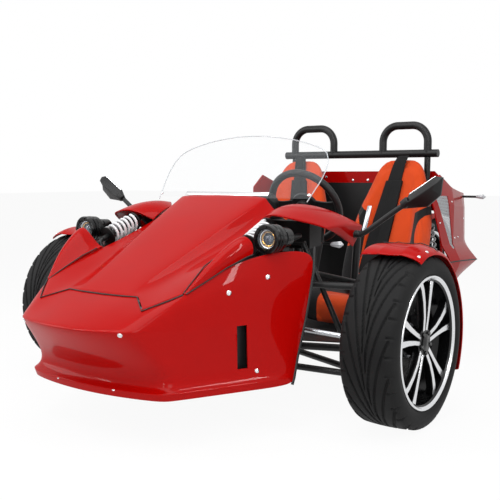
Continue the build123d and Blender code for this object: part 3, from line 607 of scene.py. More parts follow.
# %% Model the bonnet
# Half rows from the middle out: middle, inside of the crease, crease, valley, flank, edge.
BONNET_ROWS = (
    [(0, -653, 471), (92, -651, 472), (116, -650, 472), (159, -647, 472), (236, -708, 446), (314, -610, 490)],
    [(0, -560, 517), (100, -560, 516), (125, -560, 512), (163, -560, 496), (232, -572, 500), (306, -560, 514)],
    [(0, -450, 567), (117, -450, 567), (143, -450, 564), (182, -450, 540), (232, -450, 552), (288, -450, 566)],
    [(0, -300, 640), (140, -300, 639), (166, -300, 634), (205, -300, 602), (242, -300, 600), (284, -300, 604)],
    [(0, -150, 714), (158, -150, 712), (187, -150, 706), (222, -150, 670), (246, -150, 664), (270, -150, 660)],
    [(0, 5, 783), (178, 5, 780), (208, 5, 773), (238, 5, 740), (248, 5, 732), (257, 5, 724)],
)
MIDDLE = len(BONNET_ROWS[0]) - 1
bonnet_creases = {("row", 0): 1.0, ("row", len(BONNET_ROWS) - 1): 1.0, ("column", 0): 1.0,
                  ("column", 2 * MIDDLE): 1.0, ("column", MIDDLE - 2): 0.55, ("column", MIDDLE + 2): 0.55}
tongue = [(0, MIDDLE + side * column) for column in (3, 4, 5) for side in (1, -1)]
bonnet_rows = [both_halves(row) for row in BONNET_ROWS]
bonnet = panel("bonnet_panel", bonnet_rows, 5, bonnet_creases, corners=tongue)
soften(bonnet, 1.0)
fit(bonnet, "body_red", "chassis", "bonnet")
print("bonnet faces:", len(bonnet.data.polygons))

# %% [markdown]
# ## Fairings before the springs
# On each side a hump rises from the bonnet's edge, shields the spring and the lamp, and falls to the top
# edge of the nose panel.

# %% Model the fairings
# Rows from the front back: bonnet edge, valley, ridge, crown, shoulder, foot.
FAIRING_ROWS = (
    [(315, -608, 489), (317, -608, 489), (319, -608, 490), (321, -608, 490), (323, -608, 490), (325, -607, 489)],
    [(304, -540, 526), (313, -540, 526), (336, -542, 556), (349, -542, 562), (360, -540, 552), (353, -540, 524)],
    [(291, -470, 562), (304, -470, 560), (347, -472, 612), (367, -472, 620), (388, -470, 604), (380, -470, 562)],
    [(286, -400, 585), (304, -400, 584), (356, -402, 652), (386, -402, 662), (415, -400, 634), (407, -400, 592)],
    [(284, -372, 592), (304, -372, 590), (362, -378, 656), (392, -380, 664), (421, -374, 636), (415, -372, 600)],
)
fairing_creases = {("row", 4): 1.0, ("column", 0): 1.0, ("column", 5): 1.0}
fairings = pair("spring_fairings", panel("fairing_left", FAIRING_ROWS, 4, fairing_creases))
soften(fairings, 1.0)
fit(fairings, "body_red", "chassis", "shock_fairings")

# %% [markdown]
# ## Front fenders
# Each fender is an arched blade over its tyre and turns with the wheel. Two ridges stiffen it, the outer
# lip steps in behind the front part, and a dark joint crosses the top.

# %% Model the fenders
WHEEL_X, FRONT_R, REAR_R, WHEELBASE = 785, 298, 310, 1870
FENDER_TURNS = (-20, -16, -8, 4, 16, 25, 29, 40, 55, 70, 85, 100, 112, 118)
STEP_TURN, JOINT_TURN, JOINT_LIFT = 27, 8, 0.6
# Section of the blade and of its two lips as (out from the wheel's middle, radius).
FENDER_LINE = [(-118, 312), (-113, 326), (-104, 330), (-60, 330), (-46, 334), (-32, 331), (22, 331), (36, 334),
               (50, 330)]
FRONT_LIP, REAR_LIP = [(84, 320), (100, 309), (104, 300)], [(82, 322), (94, 312), (99, 303)]
STAY_FOOT, STAY_TOPS, STAY_R = (674, 48, 318), ((672, 105, 608), (672, 255, 488)), 7


def on_fender(line, turn, lift):
    """Points of a section line at a turn from the top towards the rear."""
    back, up = sin(radians(turn)), cos(radians(turn))
    return [(WHEEL_X + out, (radius + lift) * back, FRONT_R + (radius + lift) * up) for out, radius in line]


def fender_row(turn):
    """Section of the left fender at a turn, pulled down at the front end."""
    drop = 10 if turn <= -20 else 3 if turn <= -16 else 0
    return on_fender(FENDER_LINE + (FRONT_LIP if turn < STEP_TURN else REAR_LIP), turn, -drop)


fender_rows = [fender_row(turn) for turn in FENDER_TURNS]
fender_creases = {("row", 0): 0.9, ("row", len(fender_rows) - 1): 0.9}
fender_left = soften(panel("fender_skin_left", fender_rows, 4, fender_creases, levels=2), 1.0)
fender_right = mirrored(fender_left, "fender_skin_right")
for fender, side, sign in ((fender_left, "left", 1), (fender_right, "right", -1)):
    stays = [rod("stay", on_side(sign, (STAY_FOOT, stay_top)), STAY_R) for stay_top in STAY_TOPS]
    fit(join("fender_stays_" + side, stays), "frame_black", "knuckle_" + side)
    fit(fender, "body_red", "knuckle_" + side, "fender_" + side)
    joint = on_fender(FENDER_LINE[2:] + FRONT_LIP[:2], JOINT_TURN, JOINT_LIFT)
    joint = rod("fender_joint_" + side, on_side(sign, joint), 1.6)
    fit(joint, "rubber_seal", "knuckle_" + side, slot="trim_black")
print("fender faces:", len(fender_left.data.polygons))

# %% [markdown]
# ## Tyres
# The tyre is turned from its section. Long grooves sweep from the centre rib out to the shoulder, where
# they meet short notches. Each groove is pressed into the mesh, so it shows from every side.

# %% Model the tyres
GROOVES, SWEEP, NOTCHES = 15, 3.4, 30
STEPS, TREAD_COLUMNS = 540, 62
# Depth, half width and width of the sloped wall, in millimetres.
GROOVE, NOTCH = (6.5, 4.4, 1.7), (5.0, 4.4, 1.6)
RIB_SHARE, TREAD_SHARE, NOTCH_SHARE = 0.05, 1.02, 0.90
BEAD_IN, TREAD_IN = 12, 22


def pressed(gap, depth, half, slope):
    """Depth at a gap from the middle of a groove."""
    return depth * max(0.0, min(1.0, (half - gap) / slope))


def groove_depth(turn, share, half_mm, radius):
    """Depth of the tread pattern, in millimetres, at a turn and a share of the way to the shoulder."""
    side = abs(share)
    deep = 0.0
    if RIB_SHARE < side < TREAD_SHARE:
        phase = (GROOVES * turn / (2 * pi) - SWEEP * side ** 0.5 + (0.5 if share < 0 else 0.0)) % 1.0
        slope = ((GROOVES / (2 * pi * radius)) ** 2 + (0.5 * SWEEP / side ** 0.5 / half_mm) ** 2) ** 0.5
        gap = min(phase, 1 - phase) / slope
        deep = pressed(gap, *GROOVE)
    if side > NOTCH_SHARE:
        phase = (NOTCHES * turn / (2 * pi)) % 1.0
        gap = min(phase, 1 - phase) * 2 * pi * radius / NOTCHES
        deep = max(deep, pressed(gap, *NOTCH))
    return deep


def tyre_section(radius, wide):
    """Points (out, radius, tread share or None) round the tyre's section."""
    half = wide / 2
    tread_half = half - TREAD_IN
    side = [(half - BEAD_IN, 216), (half - BEAD_IN, 226), (half - 6, 232), (half - 1, 246), (half, 258),
            (half - 2, radius - 28), (half - 6, radius - 18)]
    rows = [(out, r, None) for out, r in side]
    rows += [(half - 9, radius - 12, 1.1), (half - 15, radius - 7, 1.05)]
    for step in range(TREAD_COLUMNS + 1):
        out = tread_half * (1 - 2 * step / TREAD_COLUMNS)
        rows.append((out, radius - 4 * (out / tread_half) ** 2, out / tread_half))
    rows += [(15 - half, radius - 7, -1.05), (9 - half, radius - 12, -1.1)]
    rows += [(-out, r, None) for out, r in side[::-1]]
    return rows + rows[:1], tread_half


def tyre(name, hub_x, aft, radius, wide):
    """Turned tyre with its grooves."""
    section, tread_half = tyre_section(radius, wide)
    rows = []
    for turn in around(STEPS) + [0.0]:
        row = []
        for out, r, share in section:
            if share is not None:
                r -= groove_depth(turn, share, tread_half, radius)
            row.append((hub_x + out, aft - r * cos(turn), radius + r * sin(turn)))
        rows.append(row)
    return sheet_of(name, rows, closed=True)


# Columns: name, hub x, aft, tyre radius, tyre width, face side.
WHEELS = (
    ("front_left", WHEEL_X, 0, FRONT_R, 200, 1),
    ("front_right", -WHEEL_X, 0, FRONT_R, 200, -1),
    ("rear", 0, WHEELBASE, REAR_R, 235, 1),
)
for name, hub_x, aft, radius, wide, face in WHEELS:
    rubber_ring = tyre("tread_" + name, hub_x, aft, radius, wide)
    fit(rubber_ring, "tyre", "wheel_" + name, "tyre_" + name, smooth=40)
print("tyre faces:", len(rubber_ring.data.polygons))

# %% [markdown]
# ## Wheels
# Five twin spokes run from the hub to the rim. The casting is gloss black, and its front faces and the
# outer lip are machined bright. One function makes each spoke at its turn round the hub.

# %% Model the wheels
SPOKE_PAIRS, NUT_RING = 5, 35
# Columns: radius, near edge, far edge, front face short of the rim's lip.
SPOKE = ((40, 2, 19, 10), (90, 6, 23, 6), (140, 13, 33, 5), (182, 22, 46, 6), (209, 30, 62, 9))
# An arm and the bright plate on it have an inset, a lift and a thickness.
ARM, PLATE = (0, 0, 26), (1.4, 0.8, 3)
# Sections as (out from the bead seat, radius).
LIP = ((6, 228.4), (8, 227), (8, 221), (2, 215), (1, 217), (6, 228.4))
CAP = ((-9, 30), (-5, 30), (-3, 26), (-3, 14), (-2, 12), (-2, 1), (-9, 1), (-9, 30))
NUT = ((-10, 9), (-3, 8.5), (-1, 6), (-1, 1), (-10, 1), (-10, 9))


def spun(name, section, hub_x, aft, height, face, steps=96):
    """Turned ring from points (out, radius) round its section."""
    rows = [[(hub_x + face * out, aft - r * cos(turn), height + r * sin(turn)) for out, r in section]
            for turn in around(steps) + [0.0]]
    return sheet_of(name, rows, closed=True)


def spoke(name, hub_x, aft, height, face, lip, turn, side, inset, lift, thick):
    """One spoke at a turn round the hub, as a flat strip with its thickness behind its front face."""
    rows = []
    for r, near, far, short in SPOKE:
        row = []
        for across in (near + inset, (near + far) / 2, far - inset):
            y, z = r * cos(turn) - side * across * sin(turn), r * sin(turn) + side * across * cos(turn)
            row.append((hub_x + face * (lip - short + lift - thick / 2), aft - y, height + z))
        rows.append(row)
    piece = thicken(sheet_of(name, rows), thick)
    merge(piece)
    return piece


def off_seat(seat, section):
    """Section moved out to the bead seat."""
    return [(seat + out, r) for out, r in section]


for name, hub_x, aft, radius, wide, face in WHEELS:
    place = (hub_x, aft, radius, face)
    seat = wide / 2 - BEAD_IN
    body = "wheel_" + name
    barrel = [(-seat - 8, 228), (-seat, 228), (-seat, 216), (-seat + 40, 216), (-seat + 52, 194),
              (seat - 64, 194), (seat - 48, 216), (seat, 216), (seat, 228), (seat + 6, 228), (seat + 6, 219),
              (seat - 4, 210), (seat - 44, 210), (seat - 60, 188), (-seat + 48, 188), (-seat + 36, 210),
              (-seat + 4, 210), (-seat - 8, 220), (-seat - 8, 228)]
    hub = [(18, 46), (18, 20.5), (seat - 26, 20.5), (seat - 26, 1), (seat - 12, 1), (seat - 8, 40),
           (seat - 12, 50), (18, 50), (18, 46)]
    casting = [spun("barrel", barrel, *place), spun("hub", hub, *place)]
    bright = [spun("lip", off_seat(seat, LIP), *place)]
    casting.append(spun("cap", off_seat(seat, CAP), *place))
    for turn in [pi / 2 + step for step in around(SPOKE_PAIRS)]:
        for side in (1, -1):
            casting.append(soften(spoke("arm", *place, seat, turn, side, *ARM), 2.5, 2, 40))
            bright.append(soften(spoke("plate", *place, seat, turn, side, *PLATE), 0.5, 1, 40))
        nut = turn + pi / SPOKE_PAIRS
        nut_at = (hub_x, aft - NUT_RING * cos(nut), radius + NUT_RING * sin(nut), face)
        casting.append(spun("nut", off_seat(seat, NUT), *nut_at, steps=6))
    fit(join("casting_" + name, casting), "wheel_alloy", body, "rim_" + name)
    fit(join("machined_" + name, bright), "wheel_face", body, slot="wheel_alloy")
print("spokes:", 2 * SPOKE_PAIRS * len(WHEELS))

# %% [markdown]
# ## Seats
# The two bucket seats are padded shells: an orange centre, black side bolsters and a narrow head. Each is
# one closed skin drawn through loops across the seat, from the front edge of the cushion up the back and
# over the head. A cloth simulation then swells the cover a little, as the filling under it does.

# %% Model the seats
SEAT_X = 280
# Loops along the seat's middle line: aft, height, half width, bolster height, thickness.
SEAT_LOOPS = (
    (478, 214, 196, 0, 26), (464, 262, 200, 4, 30), (466, 318, 203, 14, 36), (492, 338, 204, 26, 44),
    (560, 328, 205, 42, 62), (650, 308, 205, 50, 76), (740, 286, 205, 54, 80), (806, 280, 205, 58, 78),
    (846, 318, 205, 62, 70), (874, 390, 205, 66, 62), (905, 470, 205, 66, 58), (938, 560, 205, 60, 56),
    (966, 640, 200, 46, 54), (990, 710, 188, 30, 52), (1008, 770, 166, 16, 50), (1024, 830, 146, 8, 48),
    (1040, 884, 126, 4, 46), (1056, 928, 98, 2, 42), (1070, 946, 54, 0, 28),
)
# Round a loop: share of the half width, share of the bolster height, share of the thickness behind.
SEAT_ROUND = ((0.0, 0.06, 0), (0.22, 0.08, 0), (0.44, 0.02, 0), (0.50, -0.08, 0), (0.58, 0.30, 0),
              (0.74, 0.96, 0), (0.90, 0.92, 0), (1.0, 0.30, 0.12), (0.985, 0, 0.62), (0.86, 0, 0.96),
              (0.42, 0, 1.0), (0.0, 0, 1.0))


def middle_line(index):
    """Place on the seat's middle line and the direction towards the sitter."""
    ahead = SEAT_LOOPS[min(index + 1, len(SEAT_LOOPS) - 1)]
    behind = SEAT_LOOPS[max(index - 1, 0)]
    along = Vector((0, ahead[0] - behind[0], ahead[1] - behind[1])).normalized()
    return Vector((0, SEAT_LOOPS[index][0], SEAT_LOOPS[index][1])), Vector((0, -along.z, along.y))


def seat_loop(index, centre_x):
    """Closed loop of points round the seat at one place along it."""
    half, bolster, thick = SEAT_LOOPS[index][2:]
    place, towards = middle_line(index)
    ring = []
    for share, lift, depth in list(SEAT_ROUND) + [(-s, lift, depth) for s, lift, depth in SEAT_ROUND[-2:0:-1]]:
        spot = place + towards * (lift * bolster - depth * thick)
        ring.append((centre_x + share * half, spot.y, spot.z))
    return ring + ring[:1]


VOXEL, PRESSURE, LAST_FRAME, MOST_SWELL = 0.008, 4.0, 20, 0.007


def swell(piece):
    """Blow the cover up like a filled cushion, and hold back any point that moves too far."""
    apply(piece, "REMESH", mode="VOXEL", voxel_size=VOXEL)
    before = [vertex.co.copy() for vertex in piece.data.vertices]
    cloth = piece.modifiers.new("cloth", "CLOTH")
    cloth.settings.use_pressure = True
    cloth.settings.uniform_pressure_force = PRESSURE
    cloth.settings.effector_weights.gravity = 0.0
    cloth.point_cache.frame_start, cloth.point_cache.frame_end = 1, LAST_FRAME
    for number in range(1, LAST_FRAME + 1):
        bpy.context.scene.frame_set(number)
    only(piece)
    bpy.ops.object.modifier_apply(modifier=cloth.name)
    for vertex, start in zip(piece.data.vertices, before):
        move = vertex.co - start
        vertex.co = start + move * min(1.0, MOST_SWELL / max(move.length, 1e-9))
    bpy.context.scene.frame_set(1)
    return apply(piece, "SMOOTH", factor=0.5, iterations=4)


SEATS = (("left", SEAT_X), ("right", -SEAT_X))
rows = [seat_loop(index, SEAT_X) for index in range(len(SEAT_LOOPS))]
seat_left = swell(round_off(cap(sheet_of("seat_pad_left", rows, closed=True)), 2))
seat_right = mirrored(seat_left, "seat_pad_right")
for seat, node in ((seat_left, "seat_left"), (seat_right, "seat_right")):
    round_off(seat, 1)
    fit(seat, "seat_fabric", "chassis", node, smooth=60)
print("seat faces:", len(seat_left.data.polygons))

# %% [markdown]
# ## Harness belts
# Flat webbing runs from behind each head over the seat back to a buckle on the cushion, with thick
# shoulder pads. A strap is a narrow sheet that lies a few millimetres off the seat's skin.

# %% Model the belts
# Columns: first and last loop, offset inwards at the top and at the bottom, half width, thickness, lift.
STRAPS = ((8, 18, -4, 100, 22, 3, 10), (8, 18, -16, 38, 22, 3, 12), (9, 15, 24, 94, 31, 13, 13),
          (9, 15, -2, 34, 29, 13, 15))
# Left half of the lap belt's lower edge, and the step from there to its upper edge.
LAP_HALF, LAP_STEP = ((40, 752, 308), (90, 770, 318), (150, 792, 352), (198, 800, 356)), (-44, 8)
BUCKLE_AT, BUCKLE_SIZE = (736, 318), (70, 62, 22)
# Ends of the clasp as (x, height), its half width, and its place before the leaning seat back.
CLASP_ENDS, CLASP_HALF, CLASP_GAP = ((-84, 716), (-92, 600)), 11, 38
SEAT_BACK_AFT, SEAT_BACK_Z, SEAT_BACK_LEAN = 930, 700, 0.34


def strap(name, centre_x, first, last, top_x, low_x, half, thick, lift):
    """Flat strap along the seat between two loops."""
    rows = []
    for index in range(last, first - 1, -1):
        share = (last - index) / (last - first)
        place, towards = middle_line(index)
        spot = place + towards * (lift + 0.06 * SEAT_LOOPS[index][3])
        x = centre_x - (top_x + (low_x - top_x) * share) * (1 if centre_x > 0 else -1)
        rows.append([(x + half * part, spot.y, spot.z) for part in (-1, -0.4, 0.4, 1)])
    edges = (("column", 0), ("column", 3), ("row", 0), ("row", len(rows) - 1))
    piece = thicken(round_off(sheet_of(name, rows, {edge: 1.0 for edge in edges}), 1), thick)
    return soften(piece, min(thick * 0.4, 3), 2, 40)


for side, centre_x in SEATS:
    belts = [strap("strap", centre_x, *row) for row in STRAPS]
    lap = on_side(-1, LAP_HALF[::-1]) + list(LAP_HALF)
    rows = [[(centre_x + x, aft, z), (centre_x + x, aft + LAP_STEP[0], z + LAP_STEP[1])] for x, aft, z in lap]
    belts.append(thicken(sheet_of("lap", rows), 3))
    fit(join("belts_" + side, belts), "webbing", "chassis", slot="trim_black", smooth=50)
    buckle = block("buckle_" + side, (centre_x, *BUCKLE_AT), BUCKLE_SIZE)
    fit(soften(buckle, 6, 3), "trim_black", "chassis")
    rows = []
    for x, z in CLASP_ENDS:
        aft = SEAT_BACK_AFT - SEAT_BACK_LEAN * (SEAT_BACK_Z - z) - CLASP_GAP
        rows.append([(centre_x + x - CLASP_HALF, aft, z), (centre_x + x + CLASP_HALF, aft, z)])
    fit(soften(thicken(sheet_of("clasp_" + side, rows), 4), 1.5), "steel", "chassis")
print("belts:", 2 * len(STRAPS))

# %% [markdown]
# ## Cowl wings
# Beside the bonnet's rear end two smooth wings cover the lamps from above and carry the mirror stalks.
# Each is a bulged sheet whose outer edge folds down to a point.

# %% Model the cowl wings
# Rows from the bonnet outwards: front edge, swell, back of the swell, rear edge.
COWL_ROWS = (
    [(262, -112, 680), (262, -72, 706), (262, -35, 720), (262, 2, 729)],
    [(300, -142, 704), (300, -80, 734), (300, -10, 743), (300, 44, 740)],
    [(350, -168, 722), (350, -80, 750), (350, 20, 757), (350, 92, 746)],
    [(430, -168, 706), (430, -60, 738), (430, 80, 738), (430, 184, 706)],
    [(486, -96, 686), (486, 10, 704), (486, 120, 702), (486, 208, 676)],
    [(506, -60, 672), (508, 20, 678), (508, 120, 676), (506, 214, 666)],
    [(504, 0, 658), (506, 60, 650), (506, 120, 640), (504, 196, 640)],
    [(500, 70, 640), (500, 105, 620), (500, 130, 606), (500, 152, 594)],
)
cowl_creases = {("row", 0): 1.0, ("row", 7): 1.0, ("column", 0): 1.0, ("column", 3): 1.0, ("row", 5): 0.6}
cowl = soften(pair("cowl_panels", panel("cowl_left", COWL_ROWS, 5, cowl_creases)), 1.0)
fit(cowl, "body_red", "chassis", "cowl_wings")
print("cowl faces:", len(cowl.data.polygons))

# %% [markdown]
# ## Turned pieces
# Lamps, bolts, gauges and joints are all turned on a lathe, in one helper: a section of distances along
# the axis and radii, spun round an axis that starts at a place and looks one way.


# %% Make the lathe
def turned(name, section, place, towards, steps=32):
    """Turned piece from points (along, radius)."""
    axis = Vector(towards).normalized()
    side = axis.orthogonal().normalized()
    up = axis.cross(side)
    rows = []
    for turn in around(steps) + [0.0]:
        out = side * cos(turn) + up * sin(turn)
        rows.append([tuple(Vector(place) + axis * along + out * r) for along, r in section])
    return sheet_of(name, rows, closed=True)


print("lathe ready")

# %% [markdown]
# ## Headlamps
# Each headlamp is a black ribbed can with lugs on its front ring. Behind the clear glass sit a bright ring,
# an amber ring and the ball of the projector.

# %% Model the headlamps
LAMP_AT = (434, -326, 648)
BACK = (0, 1, 0)
LAMP_CAN = ((38, 0), (34, 14), (24, 26), (13, 33), (4, 34.5), (0, 36), (-1, 46), (2, 50), (14, 50), (16, 46),
            (20, 46), (22, 50), (32, 50), (34, 46), (38, 46), (40, 49), (58, 48), (64, 38), (78, 36), (80, 32),
            (84, 32), (86, 36), (124, 34), (130, 29), (130, 0))
LAMP_RING = ((13, 32.2), (12.4, 31), (14, 28.6), (17, 28.6), (17, 31), (13, 32.2))
AMBER_RING = ((16, 27), (15, 25), (17, 21), (22, 21), (22, 26), (16, 27))
PROJECTOR = ((12.6, 0), (13.5, 8), (17, 15), (22, 19), (30, 20))
LUG, LUGS, LUG_RING, LUG_AHEAD = ((0, 0), (0, 5), (4, 5), (4, 0)), 8, 42, 3
finish("projector", colour(34, 40, 58), 0.06, coat_weight=1.0)
finish("amber_ring", colour(196, 148, 70), 0.28, recipe=brushed, metallic=0.9)
cans, rings, balls, ambers = [], [], [], []
for side in (1, -1):
    place = (side * LAMP_AT[0], *LAMP_AT[1:])
    cans.append(turned("can", LAMP_CAN, place, BACK, 48))
    for turn in around(LUGS):
        spot = (place[0] + LUG_RING * cos(turn), place[1] - LUG_AHEAD, place[2] + LUG_RING * sin(turn))
        cans.append(turned("lug", LUG, spot, BACK, 8))
    rings.append(turned("ring", LAMP_RING, place, BACK, 48))
    ambers.append(turned("amber", AMBER_RING, place, BACK, 48))
    balls.append(turned("ball", PROJECTOR, place, BACK))
fit(join("lamp_cans", cans), "wheel_alloy", "chassis", "headlamps", slot="trim_black")
fit(join("lamp_rings", rings), "wheel_face", "chassis", slot="steel")
fit(join("lamp_ambers", ambers), "amber_ring", "chassis", slot="steel")
fit(join("lamp_balls", balls), "projector", "chassis", slot="lamp_glass")
print("lamps: 2")

# %% [markdown]
# ## Mirrors
# Two angular mirror heads stand on thick stalks that grow out of the cowl. The head is folded along a
# ridge in front. Behind, the glass sits in a shallow rim.

# %% Model the mirrors
HEAD = ((690, 738), (720, 792), (818, 856), (845, 852), (838, 790), (790, 748))
HEAD_MIDDLE = Vector((778, 796))
RIDGE = Vector((150, 96)).normalized()
# Loops from the glass forward: aft, share along the ridge, share across it.
HEAD_LOOPS = ((171, 0.95, 0.9), (178, 0.95, 0.9), (178, 1, 1), (168, 1.0, 1.0), (146, 0.80, 0.24),
              (142, 0.66, 0.05))
GLASS_LOOPS, EDGE_LOOP = ((172.5, 0.94, 0.89), (174, 0.94, 0.89)), (172, 1.0, 1.0)
STALK = ((505, 158, 640), (536, 158, 639), (556, 158, 650), (640, 161, 710), (716, 164, 763))
BOOT = ((0, 11), (4, 15), (8, 12.5), (12, 15), (16, 12.5), (20, 15), (26, 11), (26, 0))
JOINT = ((0, 0), (0, 15), (5, 17), (26, 17), (30, 14), (30, 0))


def head_loop(aft, along, across):
    """Outline of the head, shrunk along and across the ridge, at one depth."""
    loop = []
    for x, z in HEAD:
        reach = Vector((x, z)) - HEAD_MIDDLE
        lengthwise = RIDGE * reach.dot(RIDGE)
        spot = HEAD_MIDDLE + lengthwise * along + (reach - lengthwise) * across
        loop.append((spot.x, aft, spot.y))
    return loop + loop[:1]


head = cap(sheet_of("head", [head_loop(*row) for row in HEAD_LOOPS], closed=True))
soften(head, 2.0, 2, 25)
stalk = rod("stalk", STALK, 10)
boot = turned("boot", BOOT, (506, 158, 640), (1, 0, 0), 20)
knuckle = turned("joint", JOINT, (700, 158, 752), (0.8, 0.05, 0.6), 20)
mirror = join("mirror", [head, stalk, boot, knuckle])
glass = cap(sheet_of("mirror_face", [head_loop(*row) for row in GLASS_LOOPS], closed=True))
edge = rod("mirror_edge", [(x, aft - 1, z) for x, aft, z in head_loop(*EDGE_LOOP)[1:3]], 2.2)
fit(pair("mirror_heads", mirror), "trim_black", "chassis", "mirrors")
fit(pair("mirror_faces", glass), "mirror_glass", "chassis", slot="trim_black")
fit(pair("mirror_edges", edge), "wheel_face", "chassis", slot="trim_black")
print("mirrors: 2")

# %% [markdown]
# ## Turn signals
# Clear arrow heads with flat facets stand on thin black stalks, two in front under the cowl and two at
# the tail.

# %% Model the signals
# Loops of the arrow head: x from the tip, half height, half depth.
ARROW = ((-50, 7, 9), (-44, 9, 12), (-14, 14, 12), (-3, 4, 5), (0, 1, 1))
TIPS = ((545, 6, 612), (545, 1500, 750))
SIX_CORNERS = [pi / 3 * corner for corner in range(7)]
FRONT_STALK = ((459, 6, 685), (459, 6, 620), (464, 6, 613), (505, 6, 612))
REAR_STALK = ((421.8, 1500, 750), (505, 1500, 750))
arrows, stalks = [], []
for tip_x, aft, z in TIPS:
    for side in (1, -1):
        rows = [[(side * (tip_x + back), aft + deep * cos(turn), z + high * sin(turn)) for turn in SIX_CORNERS]
                for back, high, deep in ARROW]
        arrows.append(soften(cap(sheet_of("arrow", rows, closed=True)), 0.8))
for side in (1, -1):
    for points, radius in ((FRONT_STALK, 5), (REAR_STALK, 6)):
        stalks.append(rod("stalk", on_side(side, points), radius))
fit(join("signal_arrows", arrows), "signal_plastic", "chassis", "turn_signals")
fit(join("signal_stalks", stalks), "trim_black", "chassis")
print("signals: 4")

# %% [markdown]
# ## Steering wheel
# A thick padded ring, three broad spokes and a round boss, square to the tilted column. It turns on the
# column with the hand wheel's joint.

# %% Model the steering wheel
TILT = radians(27)
WHEEL_AT = (262, 205, 735)
LOOK = (0, cos(TILT), sin(TILT))
RING_R, BAND_R, BAND_SIDES = 150, 14.5, 12
BOSS = ((-29, 0), (-29, 32), (-8, 36), (-6, 58), (6, 60), (10, 52), (12, 30), (9, 26), (9, 0))
ARM_HALVES = ((40, 34), (80, 24), (115, 22), (148, 30))
band = [(BAND_R * sin(turn), RING_R + BAND_R * cos(turn)) for turn in around(BAND_SIDES) + [2 * pi]]
ring = turned("ring", band, WHEEL_AT, LOOK, 72)
boss = turned("boss", BOSS, WHEEL_AT, LOOK, 40)
spokes = []
for turn in (0, pi, -pi / 2):
    out = Vector((cos(turn), -sin(turn) * sin(TILT), sin(turn) * cos(TILT)))
    over = Vector(LOOK).cross(out)
    rows = []
    for reach, half in ARM_HALVES:
        spot = Vector(WHEEL_AT) + out * reach
        rows.append([tuple(spot + over * half * share) for share in (-1, -0.4, 0.4, 1)])
    spokes.append(soften(thicken(round_off(sheet_of("arm", rows), 1), 9), 3, 2, 40))
fit(join("hand_wheel_ring", [ring, boss] + spokes), "trim_black", "hand_wheel", "steering_wheel")
print("steering wheel faces:", len(ring.data.polygons))

# %% [markdown]
# ## Seams, edge rubber and bolts
# The red panels meet at dark rubber seams and are held by bright button-head bolts. A seam is a thin bead
# along the edge of a panel. A bolt is turned, then set on the panel's skin, square to it.

# %% Lay the seams
POD_EDGE = ((531, 1430, 437), (540, 1180, 451), (528, 1040, 453))
# Corners of the dark liner behind the left vent, in two rows.
LINER = [[(394 + 0.41 * reach, -426 + 0.91 * reach, z) for reach in (-60, 60)] for z in (215, 395)]
opening = [(x, aft - 1, z + 1.5) for x, aft, z in NOSE_TOP[:6]]
inner = [(row[0][0] - 0.5, row[0][1], row[0][2] + 1.5) for row in FAIRING_ROWS[:4]]
outer = [(row[5][0] + 1, row[5][1], row[5][2] + 0.5) for row in FAIRING_ROWS]
nose_rear = [(row[-1][0] - 1, row[-1][1] + 1, row[-1][2]) for row in nose_rows]
beads, liners = [rod("bead", both_halves(opening), 2.2)], []
for side in (1, -1):
    for points, radius in ((inner, 2.0), (outer, 2.0), (nose_rear, 5), (POD_EDGE, 3)):
        beads.append(rod("bead", on_side(side, points), radius))
    liners.append(thicken(sheet_of("liner", [on_side(side, row) for row in LINER]), 3))
fit(join("vent_liners", liners), "trim_black", "chassis")
fit(join("panel_seams", beads), "rubber_seal", "chassis", slot="trim_black")
print("seams:", len(beads))

# %% Set the bolts
HEAD_SECTION = ((-2, 0), (-2, 0.9), (0.5, 1.0), (2.2, 0.86), (3.2, 0.55), (3.2, 0.34), (1.6, 0.3), (1.6, 0))
RIVETS = ((6, 873, -88, 596), (6, 877, -33, 608))
nodes = frame["nodes"]
# Columns: name, body, skin on the left, skin on the right, places (head radius, x, aft, height).
BOLTS = (
    ("nose_bolts", "chassis", nose, nose, ((9, 392, -472, 483), (9, 447, -330, 524), (8, 447, -394, 220),
                                           (8.5, 222, -794, 378), (7, 130, -733, 180))),
    ("cowl_bolts", "chassis", cowl, cowl, ((4.5, 470, 150, 700),)),
    ("screen_bolts", "chassis", nodes["windscreen"], nodes["windscreen"], ((7, 366, 60, 786),)),
    ("band_bolts", "chassis", nodes["tail_cover"], nodes["tail_cover"],
     ((7, 43, 1170, 835), (7, 200, 1170, 850))),
    ("pod_bolts", "chassis", nodes["side_pod_left"], nodes["side_pod_right"],
     ((4.5, 502, 1004, 640), (4.5, 503, 1149, 735), (4.5, 497, 1215, 557), (4.5, 480, 1293, 556),
      (4.5, 452, 1440, 640))),
    ("rivets_left", "knuckle_left", fender_left, None, RIVETS),
    ("rivets_right", "knuckle_right", None, fender_right, RIVETS),
)
for name, body, left_skin, right_skin, places in BOLTS:
    heads = []
    for skin, side in ((left_skin, 1), (right_skin, -1)):
        for radius, x, aft, z in places if skin else ():
            _, spot, towards, _ = skin.closest_point_on_mesh(at(side * x, aft, z))
            place = (spot.x * 1000, spot.y * 1000 - FRONT_AXLE_Y, spot.z * 1000)
            heads.append(turned("head", [(along, r * radius) for along, r in HEAD_SECTION], place, towards, 16))
    fit(join(name, heads), "wheel_face", body, slot="steel")
print("kinds of bolts:", len(BOLTS))

# %% [markdown]
# ## Windscreen edge and strip
# The clear screen shows mostly by its edge, a pale half-clear bead whose colour is a painted highlight for
# the light that the polished clear edge catches, and by the bright strip that clamps its foot to the bonnet.

# %% Model the edge and the strip
SCREEN_R, SCREEN_FOOT, RAKE = 1500, (5.4, 771.9), radians(38)
EDGE = ((368, 760), (378, 800), (388, 840), (391, 880), (386, 915), (368, 945), (340, 962), (308, 975),
        (270, 986), (205, 1001), (138, 1011), (70, 1018), (0, 1020))
RIM_IN, STRIP_OUT, STRIP_LOW, STRIP_HIGH = 2, 2.5, 780, 794


